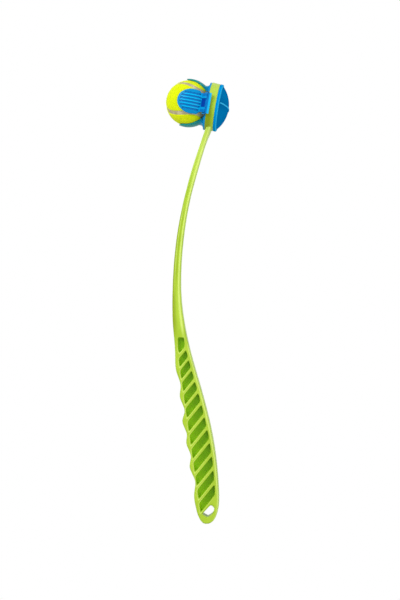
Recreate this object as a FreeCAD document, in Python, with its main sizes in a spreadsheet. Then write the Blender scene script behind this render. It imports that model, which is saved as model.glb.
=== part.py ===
import FreeCAD, Part
import math
import os
import Sketcher

# Ball launcher: a one-piece handle that ends in a ring, a ball holder clamped in the ring with
# two fixed arms and two sprung jaws, an ejector pad behind the ball, and the ball itself.
#
# Object frame: the launcher lies on its side. +Y runs along the stick towards the head, +X is
# the side of the rear dome, +Z is up. The origin is the centre of the held ball.
# Head frame: Z is the throwing axis, towards the ball, from the middle plane of the ring.
# X points along the ring towards the stick, Y is the object's +Z. Lengths are millimetres.

V = FreeCAD.Vector
UP = V(0, 0, 1)

doc = FreeCAD.newDocument("BallLauncher")

# ---------------------------------------------------------------------------------------
# Driving dimensions
# ---------------------------------------------------------------------------------------

DIMENSIONS = {
    # ball
    "ball_radius": 32.5,
    "felt_thick": 3.0,
    "core_wall": 3.3,
    "seam_width": 5.4,
    "seam_sink": 0.4,
    "seam_yaw": -137.2,
    "seam_pitch": -40.7,
    "seam_roll": -40.5,
    # head as a whole
    "head_tilt": 10.0,
    "seat_rise": 3.3,
    # ring of the handle
    "ring_width": 12.0,
    "ring_inset": 2.5,
    "ring_front_wall": 4.8,
    "ring_back_wall": 3.7,
    # stick and grip
    "stick_length": 604.7,
    "stick_thick": 13.0,
    "grip_thick": 24.0,
    "throat_spread": 25.5,
    "edge_round": 2.6,
    "web_thick": 4.0,
    "rib_slope": 51.0,
    "pocket_round": 2.2,
    "first_pocket": 355.5,
    "first_pitch": 14.5,
    "pitch_growth": 0.6,
    "pocket_share": 0.70,
    "pocket_row_stop": 40.0,
    "back_border": 4.9,
    "front_border": 5.4,
    # front housing
    "flange_step": 0.6,
    "flange_thick": 2.5,
    "cup_gap": 0.5,
    "arm_thick": 2.0,
    "arm_foot_inset": 0.3,
    "arm_reach": 8.0,
    "arm_root": 12.5,
    "arm_middle": 13.5,
    "arm_middle_rise": 11.3,
    "arm_end": 10.5,
    "arm_tip_thick": 0.7,
    "seat_opening": 15.0,
    "tube_wall": 2.2,
    "bulkhead_drop": 4.0,
    "bulkhead_thick": 2.5,
    "spigot_gap": 0.15,
    "spigot_wall": 2.35,
    "wall_drop": 1.0,
    # back cover
    "cover_step": 0.2,
    "cover_rim": 4.3,
    "cover_round": 1.0,
    "cover_wall": 2.2,
    "rim_width": 3.0,
    "dome_step": 2.7,
    "dome_height": 12.5,
    "rib_width": 1.8,
    "rib_height": 1.0,
    "rib_sink": 0.7,
    "rib_inset": 0.6,
    "rib_turn": 8.0,
    # sprung jaws
    "jaw_gap": 0.9,
    "jaw_thick": 2.9,
    "jaw_reach": 13.5,
    "jaw_half_width": 17.5,
    "jaw_tip_radius": 15.5,
    "jaw_tip_turn": 50.0,
    "jaw_skirt": 0.7,
    "shoulder_inset": 0.6,
    "shoulder_rise": 5.0,
    "leg_rise": 1.5,
    "leg_half_width": 13.5,
    "leg_inner": 1.65,
    "leg_thick": 1.95,
    "leg_overlap": 1.1,
    "leg_rear": 6.2,
    "rail_height": 0.8,
    "coil_room": 2.65,
    "coil_room_front": 4.0,
    "window_half": 6.2,
    "groove_pitch": 4.5,
    "groove_width": 2.4,
    "groove_depth": 0.9,
    "groove_border": 4.0,
    "bar_lift": 2.8,
    "bar_thick": 2.0,
    "bar_drop": 1.5,
    "bar_width": 5.3,
    "bar_half_length": 14.75,
    # hinges of the jaws
    "hinge_inset": 2.7,
    "hinge_rise": 0.5,
    "hinge_fit": 0.05,
    "barrel_radius": 2.7,
    "notch_gap": 0.8,
    "pin_radius": 1.5,
    "pin_head_step": 0.8,
    "pin_head_thick": 1.0,
    "pin_tail": 1.6,
    "clip_gap": 0.05,
    "clip_thick": 0.6,
    "lug_gap": 0.3,
    "lug_thick": 1.8,
    "lug_run": 6.5,
    "lug_rise": 1.2,
    "lug_root": 0.9,
    "head_room": 0.3,
    "head_room_depth": 2.0,
    # jaw springs
    "jaw_wire": 0.7,
    "jaw_coil_gap": 0.15,
    "jaw_coil_half": 3.2,
    "wire_hole_gap": 0.3,
    "bar_end_gap": 0.4,
    "bar_end_drop": 3.6,
    "flange_end": 4.0,
    "flange_end_room": 1.0,
    # ejector
    "pad_side_gap": 0.8,
    "pad_edge": 0.8,
    "pad_gap": 0.3,
    "pad_thick": 2.4,
    "stem_radius": 4.0,
    "stem_fit": 0.06,
    "stem_tail": 2.5,
    "stem_neck_step": 0.8,
    "stem_clip_radius": 5.8,
    "stem_clip_thick": 0.6,
    "stem_clip_slit": 4.4,
    "clip_play": 0.1,
    "seat_coil_radius": 8.5,
    "seat_wire": 1.0,
    "seat_coil_gap": 0.3,
    # screws and their posts
    "screw_radius": 1.1,
    "screw_length": 10.9,
    "screw_head_radius": 2.6,
    "screw_head_thick": 1.6,
    "screw_gap": 0.1,
    "pilot_room": 0.5,
    "slot_half": 1.6,
    "slot_width": 0.6,
    "slot_depth": 0.7,
    "post_radius": 2.3,
    "post_gap": 0.3,
    "post_sink": 0.8,
}

SCREW_COUNT = 4
JAW_COUNT = 2
DOME_RIBS = 2
JAW_SWEEP = 76
JAW_COIL_TURNS = 7.5
SEAT_COIL_TURNS = 4
# How far a cutting outline stands clear of what it cuts.
past_surface = 2.0

sheet = doc.addObject("Spreadsheet::Sheet", "Sizes")
for row, (word, number) in enumerate(DIMENSIONS.items(), start=1):
    sheet.set("A%d" % row, word)
    sheet.set("B%d" % row, str(number))
    sheet.setAlias("B%d" % row, word)
doc.recompute()


class Size:
    """A number together with the words that give the same number in a sheet expression."""

    def __init__(self, number, words=None):
        self.number = float(number)
        self.words = words if words else "(%r)" % float(number)

    def __add__(self, other):
        other = as_size(other)
        return Size(self.number + other.number, "(%s + %s)" % (self.words, other.words))

    def __sub__(self, other):
        other = as_size(other)
        return Size(self.number - other.number, "(%s - %s)" % (self.words, other.words))

    def __mul__(self, other):
        other = as_size(other)
        return Size(self.number * other.number, "(%s * %s)" % (self.words, other.words))

    def __truediv__(self, other):
        other = as_size(other)
        return Size(self.number / other.number, "(%s / %s)" % (self.words, other.words))

    def __radd__(self, other):
        return as_size(other) + self

    def __rsub__(self, other):
        return as_size(other) - self

    def __rmul__(self, other):
        return as_size(other) * self

    def __neg__(self):
        return Size(-self.number, "(0 - %s)" % self.words)

    def __float__(self):
        return self.number


def as_size(thing):
    return thing if isinstance(thing, Size) else Size(thing)


def root(thing):
    return Size(math.sqrt(thing.number), "sqrt(%s)" % thing.words)


def sine(degrees):
    return Size(math.sin(math.radians(degrees.number)), "sin(%s)" % degrees.words)


def cosine(degrees):
    return Size(math.cos(math.radians(degrees.number)), "cos(%s)" % degrees.words)


def leg_of(slanted, other_leg):
    """Third side of a right triangle, from its slanted side and one leg."""
    return root(slanted * slanted - other_leg * other_leg)


class Sizes:
    """The sheet's dimensions, one attribute each."""


dim = Sizes()
for word in DIMENSIONS:
    setattr(dim, word, Size(sheet.get(word), "Sizes." + word))

# ---------------------------------------------------------------------------------------
# Helpers for bodies, sketches and features
# ---------------------------------------------------------------------------------------


def new_body(label, placement=FreeCAD.Placement()):
    body = doc.addObject("PartDesign::Body", label)
    body.Label = label
    body.Placement = placement
    return body


def origin_feature(body, role):
    return next(item for item in body.Origin.OriginFeatures if item.Role == role)


def new_sketch(body, name, role, shift=0, place=None):
    """A sketch on one origin plane, moved along the plane's normal or placed freely from it."""
    sketch = body.newObject("Sketcher::SketchObject", name)
    sketch.AttachmentSupport = [(origin_feature(body, role), "")]
    sketch.MapMode = "FlatFace"
    if place:
        sketch.AttachmentOffset = place
        return sketch
    shift = as_size(shift)
    sketch.AttachmentOffset = FreeCAD.Placement(V(0, 0, shift.number), FreeCAD.Rotation())
    if shift.number:
        sketch.setExpression("AttachmentOffset.Base.z", shift.words)
    return sketch


def bind(sketch, constraint, size):
    """Adds a constraint whose value follows the sheet."""
    index = sketch.addConstraint(constraint)
    sketch.setExpression("Constraints[%d]" % index, size.words)


def draw(sketch, corners):
    """Closed outline. A corner is (across, up), or (across, up, radius, side) where the edge
    that arrives there is a short arc that turns left (side 1) or right (side -1)."""
    points = [V(float(corner[0]), float(corner[1]), 0) for corner in corners]
    first = sketch.GeometryCount
    starts = []
    ends = []
    for index, corner in enumerate(corners):
        begin = points[index - 1]
        finish = points[index]
        if len(corner) == 2:
            sketch.addGeometry(Part.LineSegment(begin, finish))
            forward = True
        else:
            centre = arc_centre(begin, finish, float(corner[2]), corner[3])
            circle = Part.Circle(centre, UP, float(corner[2]))
            from_angle = circle.parameter(begin)
            to_angle = circle.parameter(finish)
            forward = corner[3] > 0
            if not forward:
                from_angle, to_angle = to_angle, from_angle
            if to_angle <= from_angle:
                to_angle += 2 * math.pi
            sketch.addGeometry(Part.ArcOfCircle(circle, from_angle, to_angle))
        starts.append(1 if forward else 2)
        ends.append(2 if forward else 1)
    for index, corner in enumerate(corners):
        edge = first + index
        after = first + (index + 1) % len(corners)
        after_start = starts[(index + 1) % len(corners)]
        sketch.addConstraint(Sketcher.Constraint("Coincident", edge, ends[index], after, after_start))
        for kind, size in (("DistanceX", as_size(corner[0])), ("DistanceY", as_size(corner[1]))):
            place = Sketcher.Constraint(kind, -1, 1, edge, ends[index], size.number)
            bind(sketch, place, size)
        if len(corner) > 2:
            size = as_size(corner[2])
            bind(sketch, Sketcher.Constraint("Radius", edge, size.number), size)
    return sketch


def arc_centre(begin, finish, radius, side):
    chord = finish - begin
    half = chord.Length / 2
    left = V(-chord.y, chord.x, 0).normalize()
    return (begin + finish) * 0.5 + left * (side * math.sqrt(radius * radius - half * half))


def draw_circle(sketch, across, up, radius):
    across = as_size(across)
    up = as_size(up)
    radius = as_size(radius)
    centre = V(across.number, up.number, 0)
    index = sketch.addGeometry(Part.Circle(centre, UP, radius.number))
    for kind, size in (("DistanceX", across), ("DistanceY", up)):
        bind(sketch, Sketcher.Constraint(kind, -1, 1, index, 3, size.number), size)
    bind(sketch, Sketcher.Constraint("Radius", index, radius.number), radius)
    return sketch


def box_corners(left, right, bottom, top):
    return [(left, bottom), (right, bottom), (right, top), (left, top)]


def set_length(feature, length):
    if length is None:
        feature.Type = "ThroughAll"
    else:
        length = as_size(length)
        feature.Length = length.number
        feature.setExpression("Length", length.words)


def pad(body, sketch, length, both_ways=False, against=False):
    """Adds material along the sketch's normal, half to each side if both_ways."""
    feature = body.newObject("PartDesign::Pad", sketch.Name + "Pad")
    feature.Profile = sketch
    set_length(feature, length)
    feature.Reversed = against
    feature.SideType = "Symmetric" if both_ways else "One side"
    doc.recompute()
    return feature


def pocket(body, sketch, length=None, both_ways=False, along=False):
    """Cuts against the sketch's normal, along it, or both ways; with no length, all through."""
    before = body.Shape.Volume
    feature = body.newObject("PartDesign::Pocket", sketch.Name + "Pocket")
    feature.Profile = sketch
    set_length(feature, length)
    feature.Reversed = along
    feature.SideType = "Symmetric" if both_ways else "One side"
    doc.recompute()
    if not body.Shape.Volume < before:
        raise RuntimeError(sketch.Name + " cuts nothing")
    return feature


def revolve(body, sketch, axis_role="Z_Axis", angle=360, groove=False):
    """Turns a sketch about one of the body's axes, half of the angle to each side."""
    kind = "PartDesign::Groove" if groove else "PartDesign::Revolution"
    feature = body.newObject(kind, sketch.Name + "Turn")
    feature.Profile = sketch
    if axis_role in ("H_Axis", "V_Axis"):
        feature.ReferenceAxis = (sketch, [axis_role])
    else:
        feature.ReferenceAxis = (origin_feature(body, axis_role), [""])
    feature.Angle = float(angle)
    feature.Midplane = True
    doc.recompute()
    return feature


def repeat_around(body, feature, count):
    """Repeats a feature evenly about the body's Z axis."""
    pattern = body.newObject("PartDesign::PolarPattern", feature.Name + "Round")
    pattern.Originals = [feature]
    pattern.Axis = (origin_feature(body, "Z_Axis"), [""])
    pattern.Angle = 360
    pattern.Occurrences = count
    body.Tip = pattern
    doc.recompute()
    return pattern


def round_edges(body, radius, wanted):
    """Rounds the edges of the body for which wanted(edge) is true."""
    base = body.Tip
    names = ["Edge%d" % number for number, edge in enumerate(base.Shape.Edges, start=1) if wanted(edge)]
    feature = body.newObject("PartDesign::Fillet", base.Name + "Round")
    feature.Base = (base, names)
    feature.Radius = radius.number
    feature.setExpression("Radius", radius.words)
    doc.recompute()
    return feature


def open_spline(points, first_way, last_way, stretches=1):
    """A smooth curve through the points, with its directions at the two ends, as one or more
    stretches that run into each other smoothly."""
    whole = Part.BSplineCurve()
    whole.interpolate(Points=points, InitialTangent=first_way, FinalTangent=last_way, Scale=False)
    knots = whole.getKnots()
    curves = []
    for index in range(stretches):
        curve = whole.copy()
        begin = knots[index * (len(knots) - 1) // stretches]
        finish = knots[(index + 1) * (len(knots) - 1) // stretches]
        curve.segment(begin, finish)
        curves.append(curve)
    return curves


# ---------------------------------------------------------------------------------------
# Where the head sits
# ---------------------------------------------------------------------------------------

ball_ahead = dim.ball_radius + dim.seat_rise
tilt = math.radians(float(dim.head_tilt))
throw_way = V(-math.cos(tilt), math.sin(tilt), 0)
stick_way = V(-math.sin(tilt), -math.cos(tilt), 0)
ring_centre = throw_way * -float(ball_ahead)
head_turn = FreeCAD.Rotation(stick_way, V(0, 0, 1), throw_way, "ZXY")
head_place = FreeCAD.Placement(ring_centre, head_turn)
far_side = FreeCAD.Placement(V(0, 0, 0), FreeCAD.Rotation(UP, 180))

# Sizes that follow from the driving ones, in the head's frame.
half_ring = dim.ring_width / 2
ring_bore = dim.ball_radius - dim.ring_inset
ring_front_radius = ring_bore + dim.ring_front_wall
ring_back_radius = ring_bore + dim.ring_back_wall
flange_radius = ring_front_radius - dim.flange_step
flange_front = half_ring + dim.flange_thick
cup_radius = dim.ball_radius + dim.cup_gap
tube_radius = dim.seat_opening + dim.tube_wall
spigot_radius = ring_bore - dim.spigot_gap
spigot_inner = spigot_radius - dim.spigot_wall
wall_underside = half_ring - dim.wall_drop
bulkhead_front = -half_ring - dim.bulkhead_drop
bulkhead_back = bulkhead_front - dim.bulkhead_thick
# Screws sit on a circle just inside the spigot, on its diagonals.
screw_circle = spigot_inner - dim.post_radius - dim.post_gap
screw_diagonal = screw_circle * math.sqrt(0.5)
screw_seat = flange_front - dim.screw_head_thick
# Hinge of a jaw: the pin's height beside the head's axis, and its place along that axis.
hinge_height = flange_radius - dim.hinge_inset
hinge_ahead = flange_front + dim.hinge_rise
notch_floor = hinge_height - dim.barrel_radius - dim.notch_gap
lug_inner = dim.leg_half_width + dim.lug_gap
lug_outer = lug_inner + dim.lug_thick
pin_head_radius = dim.pin_radius + dim.pin_head_step
jaw_coil_radius = dim.pin_radius + dim.jaw_wire / 2 + dim.jaw_coil_gap
bar_bottom = flange_radius + dim.bar_lift
# Ejector: the pad lies in the seat, its stem runs through the bulkhead.
pad_dish = dim.ball_radius + dim.pad_gap
pad_back = ball_ahead - pad_dish - dim.pad_thick
pad_radius = dim.seat_opening - dim.pad_side_gap
stem_neck = dim.stem_radius - dim.stem_neck_step

# ---------------------------------------------------------------------------------------
# Handle: grip, stick, throat and ring in one moulding
# ---------------------------------------------------------------------------------------

GRIP_END = V(25.9, -604.7)
stretch = float(dim.stick_length) / -GRIP_END.y


def along_stick(points):
    """Points of the outline, stretched along the stick to its length."""
    return [V(point.x, point.y * stretch, 0) for point in points]


# The two edges of the stick and grip, seen from above, from inside the ring to the grip's end.
BACK_EDGE = along_stick([
    V(37.2, -29.9), V(29.1, -48.2), V(15.9, -88.6), V(3.3, -134.6), V(-5.3, -180.7),
    V(-10.0, -226.8), V(-10.8, -272.9), V(-5.6, -319.0), V(4.4, -364.5), V(17.7, -410.4),
    V(29.8, -456.2), V(37.6, -496.3), V(42.2, -536.4), V(43.8, -567.2), V(41.2, -590.8),
    V(34.9, -601.3), GRIP_END,
])
FRONT_EDGE = along_stick([
    V(29.0, -26.8), V(21.3, -48.2), V(7.6, -88.6), V(-5.2, -134.6), V(-14.6, -180.7),
    V(-20.3, -226.8), V(-22.5, -272.9), V(-21.9, -319.0), V(-18.5, -361.0), V(-16.4, -387.5),
])
# Finger side of the grip: the bottom of each finger groove and the crest after it.
FINGER_EDGE = along_stick([
    V(-10.5, -407.5), V(-11.7, -421.8), V(-4.9, -444.5), V(-8.0, -456.2), V(-1.5, -477.7),
    V(-2.5, -487.4), V(4.2, -508.5), V(2.4, -521.3), V(10.3, -543.5), V(8.9, -561.4),
    V(11.6, -582.2), V(16.4, -596.5), GRIP_END,
])
# Side view of the throat: heights, and how far it has flared there from the stick's thickness.
FLARE = [(-22.0, 1.0), (-33.0, 0.71), (-40.0, 0.405), (-47.0, 0.174), (-56.0, 0.042), (-70.0, 0.0)]
# Line along the finger side that the row of pockets keeps to.
POCKET_LINE = along_stick([V(-19.0, -366.7), V(11.8, -581.5)])
# The pocket nearest the stick: for each corner its edge, the distance from that edge, and the
# height above the next pocket.
FIRST_POCKET = [
    (FRONT_EDGE, 6.0, 17.9), (BACK_EDGE, -4.4, 17.9), (BACK_EDGE, -5.9, 4.9),
    (FRONT_EDGE, 6.2, -4.5), (FRONT_EDGE, 4.5, -0.1),
]
# Hanging hole: each corner's place from the grip's end, and its radius.
HANG_HOLE = [
    (V(7.3, 28.1), 2.4), (V(-5.9, 14.1), 1.8), (V(1.7, 9.3), 4.0), (V(10.1, 15.3), 5.0),
    (V(12.5, 24.1), 3.5),
]


def crossing(points, height):
    """Where the broken line through the points crosses a height."""
    for upper, lower in zip(points, points[1:]):
        if lower.y <= height <= upper.y:
            share = (upper.y - height) / (upper.y - lower.y)
            return upper.x + (lower.x - upper.x) * share
    return points[-1].x


def pocket_corners(height):
    """Corner of a pocket at the back edge, and the one at the finger side, on one rib line."""
    right = V(crossing(BACK_EDGE, height) - float(dim.back_border), height, 0)
    slope = math.tan(math.radians(float(dim.rib_slope)))
    top, bottom = POCKET_LINE
    lean = (bottom.x - top.x) / (bottom.y - top.y)
    start = top.x + (height - top.y) * lean + float(dim.front_border)
    run = (right.x - start) / (1 - lean * slope)
    return right, V(right.x - run, height - run * slope, 0)


def pocket_row():
    """Corners of every pocket of the grip, from the stick towards the grip's end."""
    height = -float(dim.first_pocket)
    pitch = float(dim.first_pitch)
    row = [[V(crossing(edge, height + rise) + inset, height + rise, 0)
            for edge, inset, rise in FIRST_POCKET]]
    last = float(dim.pocket_row_stop) - float(dim.stick_length)
    while height - pitch * float(dim.pocket_share) > last:
        top_right, top_left = pocket_corners(height)
        low_right, low_left = pocket_corners(height - pitch * float(dim.pocket_share))
        row.append([top_right, top_left, low_left, low_right])
        height -= pitch
        pitch += float(dim.pitch_growth)
    return row


def rounded_outline(sketch, points, radii):
    """A polygon with rounded corners, one radius for each."""
    count = len(points)
    cuts = []
    for index in range(count):
        here = points[index]
        radius = radii[index]
        back = (points[index - 1] - here).normalize()
        ahead = (points[(index + 1) % count] - here).normalize()
        half = back.getAngle(ahead) / 2
        inset = radius / math.tan(half)
        middle = here + (back + ahead).normalize() * (radius / math.sin(half) - radius)
        cuts.append((here + back * inset, middle, here + ahead * inset))
    for index, (enter, middle, leave) in enumerate(cuts):
        sketch.addGeometry(Part.Arc(enter, middle, leave))
        sketch.addGeometry(Part.LineSegment(leave, cuts[(index + 1) % count][0]))


def draw_edges(sketch):
    """Outline of the stick and grip: two smooth edges that meet at the end of the grip."""
    back_way = (BACK_EDGE[1] - BACK_EDGE[0]).normalize()
    front_way = (FRONT_EDGE[1] - FRONT_EDGE[0]).normalize()
    curves = open_spline(BACK_EDGE, back_way, V(-1, 0, 0), stretches=5)
    curves += open_spline(FRONT_EDGE + FINGER_EDGE, front_way, V(1, 0, 0), stretches=10)
    for curve in curves:
        sketch.addGeometry(curve)
    sketch.addGeometry(Part.LineSegment(BACK_EDGE[0], FRONT_EDGE[0]))


def draw_taper(sketch, side):
    """What lies above (side 1) or below (side -1) the stick, seen from its side."""
    thin = float(dim.stick_thick) / 2
    thick = float(dim.grip_thick) / 2
    spread = float(dim.throat_spread) - thin
    profile = [(height, thin + spread * share) for height, share in FLARE]
    profile += [(-130.0 * stretch, thin), (-220.0 * stretch, thin + 0.6), (-300.0 * stretch, thick - 2.9),
                (-370.0 * stretch, thick - 0.6), (-430.0 * stretch, thick)]
    points = [V(height, side * half, 0) for height, half in profile]
    flare_way = (points[1] - points[0]).normalize()
    curve = open_spline(points, flare_way, V(-1, 0, 0))[0]
    past_end = -float(dim.stick_length) - past_surface
    beyond = side * (float(dim.throat_spread) + past_surface)
    corners = [points[-1], V(past_end, side * thick, 0), V(past_end, beyond, 0),
               V(points[0].x, beyond, 0), points[0]]
    sketch.addGeometry(curve)
    for begin, finish in zip(corners, corners[1:]):
        sketch.addGeometry(Part.LineSegment(begin, finish))


def is_long_edge(edge):
    """True for the edges that run along the stick between its sides and its flat faces."""
    box = edge.BoundBox
    return box.YLength > 2 * box.ZLength and box.XLength > 0.1 and box.YLength > 1


def make_handle():
    body = new_body("handle")
    outline = new_sketch(body, "StickOutline", "XY_Plane")
    draw_edges(outline)
    slab = (dim.throat_spread + 0.5) * 2
    pad(body, outline, slab, both_ways=True)
    for name, side in (("TopTaper", 1), ("BottomTaper", -1)):
        taper = new_sketch(body, name, "YZ_Plane", shift=-slab)
        draw_taper(taper, side)
        pocket(body, taper, along=True)
    round_edges(body, dim.edge_round, is_long_edge)

    ring_turn = FreeCAD.Rotation(stick_way, throw_way, -UP, "XYZ")
    ring_place = FreeCAD.Placement(ring_centre, ring_turn)
    ring = new_sketch(body, "Ring", "XY_Plane", place=ring_place)
    draw(ring, [(ring_bore, -half_ring), (ring_back_radius, -half_ring),
                (ring_front_radius, half_ring), (ring_bore, half_ring)])
    revolve(body, ring, "V_Axis")
    bore = new_sketch(body, "Bore", "XY_Plane", place=head_place)
    draw_circle(bore, 0, 0, ring_bore)
    pocket(body, bore, both_ways=True)

    for name, side in (("TopPockets", 1), ("BottomPockets", -1)):
        wells = new_sketch(body, name, "XY_Plane", shift=dim.web_thick * side / 2)
        for corners in pocket_row():
            rounded_outline(wells, corners, [float(dim.pocket_round)] * len(corners))
        pocket(body, wells, along=side > 0)
    hole = new_sketch(body, "HangHole", "XY_Plane")
    corners = [BACK_EDGE[-1] + place for place, radius in HANG_HOLE]
    rounded_outline(hole, corners, [radius for place, radius in HANG_HOLE])
    pocket(body, hole, both_ways=True)
    return body


# ---------------------------------------------------------------------------------------
# Holder: front housing and back cover, screwed together through the ring
# ---------------------------------------------------------------------------------------


def sphere_height(radius, across):
    """Height behind the ball's centre at which a sphere about it has the given radius across."""
    return ball_ahead - leg_of(radius, across)


def make_front_housing():
    body = new_body("front_housing", head_place)
    bore = dim.stem_radius + dim.stem_fit
    tip = ball_ahead + dim.arm_reach
    # The outside of each arm runs down its sphere, then along a fillet to the flange. The fillet
    # touches the flange at its foot, and its middle is a fillet's radius outside the sphere.
    arm_radius = cup_radius + dim.arm_thick
    foot = flange_radius - dim.arm_foot_inset
    drop = ball_ahead - flange_front
    fillet = (foot * foot + drop * drop - arm_radius * arm_radius) / ((arm_radius + drop) * 2)
    root_across = foot * arm_radius / (arm_radius + fillet)
    root_height = ball_ahead - (drop - fillet) * arm_radius / (arm_radius + fillet)
    # Above that the arm thins to its tip, inside a sphere with its middle on the head's axis.
    tip_across = cup_radius + dim.arm_tip_thick
    rise = tip * tip - root_height * root_height + tip_across * tip_across - root_across * root_across
    thin_middle = rise / ((tip - root_height) * 2)
    thin_radius = root(tip_across * tip_across + (tip - thin_middle) * (tip - thin_middle))
    profile = new_sketch(body, "HousingProfile", "XZ_Plane")
    draw(profile, [
        (dim.seat_opening, sphere_height(cup_radius, dim.seat_opening)),
        (cup_radius, ball_ahead, cup_radius, 1),
        (cup_radius, tip),
        (tip_across, tip),
        (root_across, root_height, thin_radius, -1),
        (foot, flange_front, fillet, 1),
        (flange_radius, flange_front),
        (flange_radius, half_ring),
        (spigot_radius, half_ring),
        (spigot_radius, -half_ring),
        (spigot_inner, -half_ring),
        (spigot_inner, wall_underside),
        (tube_radius, wall_underside),
        (tube_radius, bulkhead_back),
        (bore, bulkhead_back),
        (bore, bulkhead_front),
        (dim.seat_opening, bulkhead_front),
    ])
    revolve(body, profile)
    # Everything beside the two arms goes, down to the flange. Each arm has a round end.
    beyond = flange_radius + past_surface
    above = tip + past_surface
    waist = flange_front + dim.arm_middle_rise
    shoulder = tip - dim.arm_end
    arms = new_sketch(body, "BesideArms", "YZ_Plane")
    draw(arms, [
        (beyond, above), (beyond, flange_front), (dim.arm_root, flange_front),
        (dim.arm_middle, waist), (dim.arm_end, shoulder),
        (0, tip, dim.arm_end, 1), (-dim.arm_end, shoulder, dim.arm_end, 1),
        (-dim.arm_middle, waist), (-dim.arm_root, flange_front),
        (-beyond, flange_front), (-beyond, above),
    ])
    pocket(body, arms, both_ways=True)
    # Notches in the flange for the jaws' hinges.
    notch = new_sketch(body, "HingeNotches", "XY_Plane", shift=half_ring)
    for side in (1, -1):
        low, high = sorted((side * notch_floor, side * beyond), key=float)
        draw(notch, box_corners(-lug_inner, lug_inner, low, high))
    pocket(body, notch, along=True)
    # Hinge lugs on both sides of each notch, and the bore for the pin through them.
    radius = dim.barrel_radius
    lug_foot = hinge_height - dim.lug_run
    for name, start in (("LowLugs", lug_inner), ("HighLugs", -lug_outer)):
        lugs = new_sketch(body, name, "YZ_Plane", shift=start)
        for side in (1, -1):
            draw(lugs, [
                (side * lug_foot, flange_front + dim.lug_rise),
                (side * lug_foot, half_ring + dim.lug_root),
                (side * hinge_height, hinge_ahead - radius),
                (side * (hinge_height + radius), hinge_ahead, radius, side),
                (side * hinge_height, hinge_ahead + radius, radius, side),
            ])
        pad(body, lugs, dim.lug_thick)
    pins = new_sketch(body, "PinBores", "YZ_Plane")
    for side in (1, -1):
        draw_circle(pins, side * hinge_height, hinge_ahead, dim.pin_radius)
    pocket(body, pins, both_ways=True)
    # Room beside the lugs for the pins' heads and their clips.
    for name, start, ahead in (("HighRoom", lug_outer, True), ("LowRoom", -lug_outer, False)):
        room = new_sketch(body, name, "YZ_Plane", shift=start)
        for side in (1, -1):
            draw_circle(room, side * hinge_height, hinge_ahead, pin_head_radius + dim.head_room)
        pocket(body, room, length=dim.head_room_depth, along=ahead)
    # Screws: a seat for the head, and a hole through the wall.
    seat = new_sketch(body, "ScrewSeat", "XY_Plane", shift=screw_seat)
    draw_circle(seat, screw_diagonal, screw_diagonal, dim.screw_head_radius + dim.screw_gap)
    seat_depth = dim.screw_head_thick + dim.screw_gap
    repeat_around(body, pocket(body, seat, length=seat_depth, along=True), SCREW_COUNT)
    shank = new_sketch(body, "ScrewHole", "XY_Plane", shift=screw_seat)
    draw_circle(shank, screw_diagonal, screw_diagonal, dim.screw_radius + dim.screw_gap)
    wall = screw_seat - wall_underside + dim.screw_gap
    repeat_around(body, pocket(body, shank, length=wall), SCREW_COUNT)
    # Holes that hold the fixed ends of the jaw springs.
    hole_floor = hinge_height - jaw_coil_radius - dim.flange_end - dim.flange_end_room
    for name, side in (("SpringHoleNear", 1), ("SpringHoleFar", -1)):
        hole = new_sketch(body, name, "XZ_Plane", shift=-side * hole_floor)
        draw_circle(hole, side * dim.jaw_coil_half, hinge_ahead - jaw_coil_radius,
                    dim.jaw_wire / 2 + dim.wire_hole_gap)
        pocket(body, hole, length=notch_floor - hole_floor + past_surface, along=side < 0)
    return body


def make_back_cover():
    body = new_body("back_cover", head_place)
    rim_back = -half_ring - dim.cover_rim
    cover_radius = ring_back_radius + dim.cover_step
    dome_radius = cover_radius - dim.dome_step
    dome = (dome_radius * dome_radius + dim.dome_height * dim.dome_height) / (2 * dim.dome_height)
    apex = rim_back - dim.dome_height
    centre = apex + dome
    inner = dome - dim.cover_wall
    well = ring_bore - dim.rim_width
    profile = new_sketch(body, "CoverProfile", "XZ_Plane")
    draw(profile, [
        (0, apex),
        (dome_radius, rim_back, dome, 1),
        (cover_radius - dim.cover_round, rim_back),
        (cover_radius, rim_back + dim.cover_round, dim.cover_round, 1),
        (cover_radius, -half_ring),
        (well, -half_ring),
        (well, centre - leg_of(inner, well)),
        (0, apex + dim.cover_wall, inner, -1),
    ])
    revolve(body, profile)
    # Raised ribs run from the rim to the top of the dome.
    turn = FreeCAD.Rotation(V(0, 1, 0), float(dim.rib_turn))
    rib = new_sketch(body, "DomeRib", "YZ_Plane", place=FreeCAD.Placement(V(0, 0, 0), turn))
    low = dome - dim.rib_sink
    high = dome + dim.rib_height
    reach = dome_radius - dim.rib_inset
    draw(rib, [
        (0, centre - high),
        (reach, centre - leg_of(high, reach), high, 1),
        (reach, centre - leg_of(low, reach)),
        (0, centre - low, low, -1),
    ])
    repeat_around(body, pad(body, rib, dim.rib_width, both_ways=True), DOME_RIBS)
    # Screw posts up to the housing's wall.
    post_foot = centre - leg_of(inner, screw_circle) - dim.post_sink
    post = new_sketch(body, "ScrewPost", "XY_Plane", shift=post_foot)
    draw_circle(post, screw_diagonal, screw_diagonal, dim.post_radius)
    repeat_around(body, pad(body, post, wall_underside - post_foot), SCREW_COUNT)
    pilot = new_sketch(body, "PilotHole", "XY_Plane", shift=wall_underside)
    draw_circle(pilot, screw_diagonal, screw_diagonal, dim.screw_radius)
    pilot_depth = wall_underside - screw_seat + dim.screw_length + dim.pilot_room
    repeat_around(body, pocket(body, pilot, length=pilot_depth), SCREW_COUNT)
    return body


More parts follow.
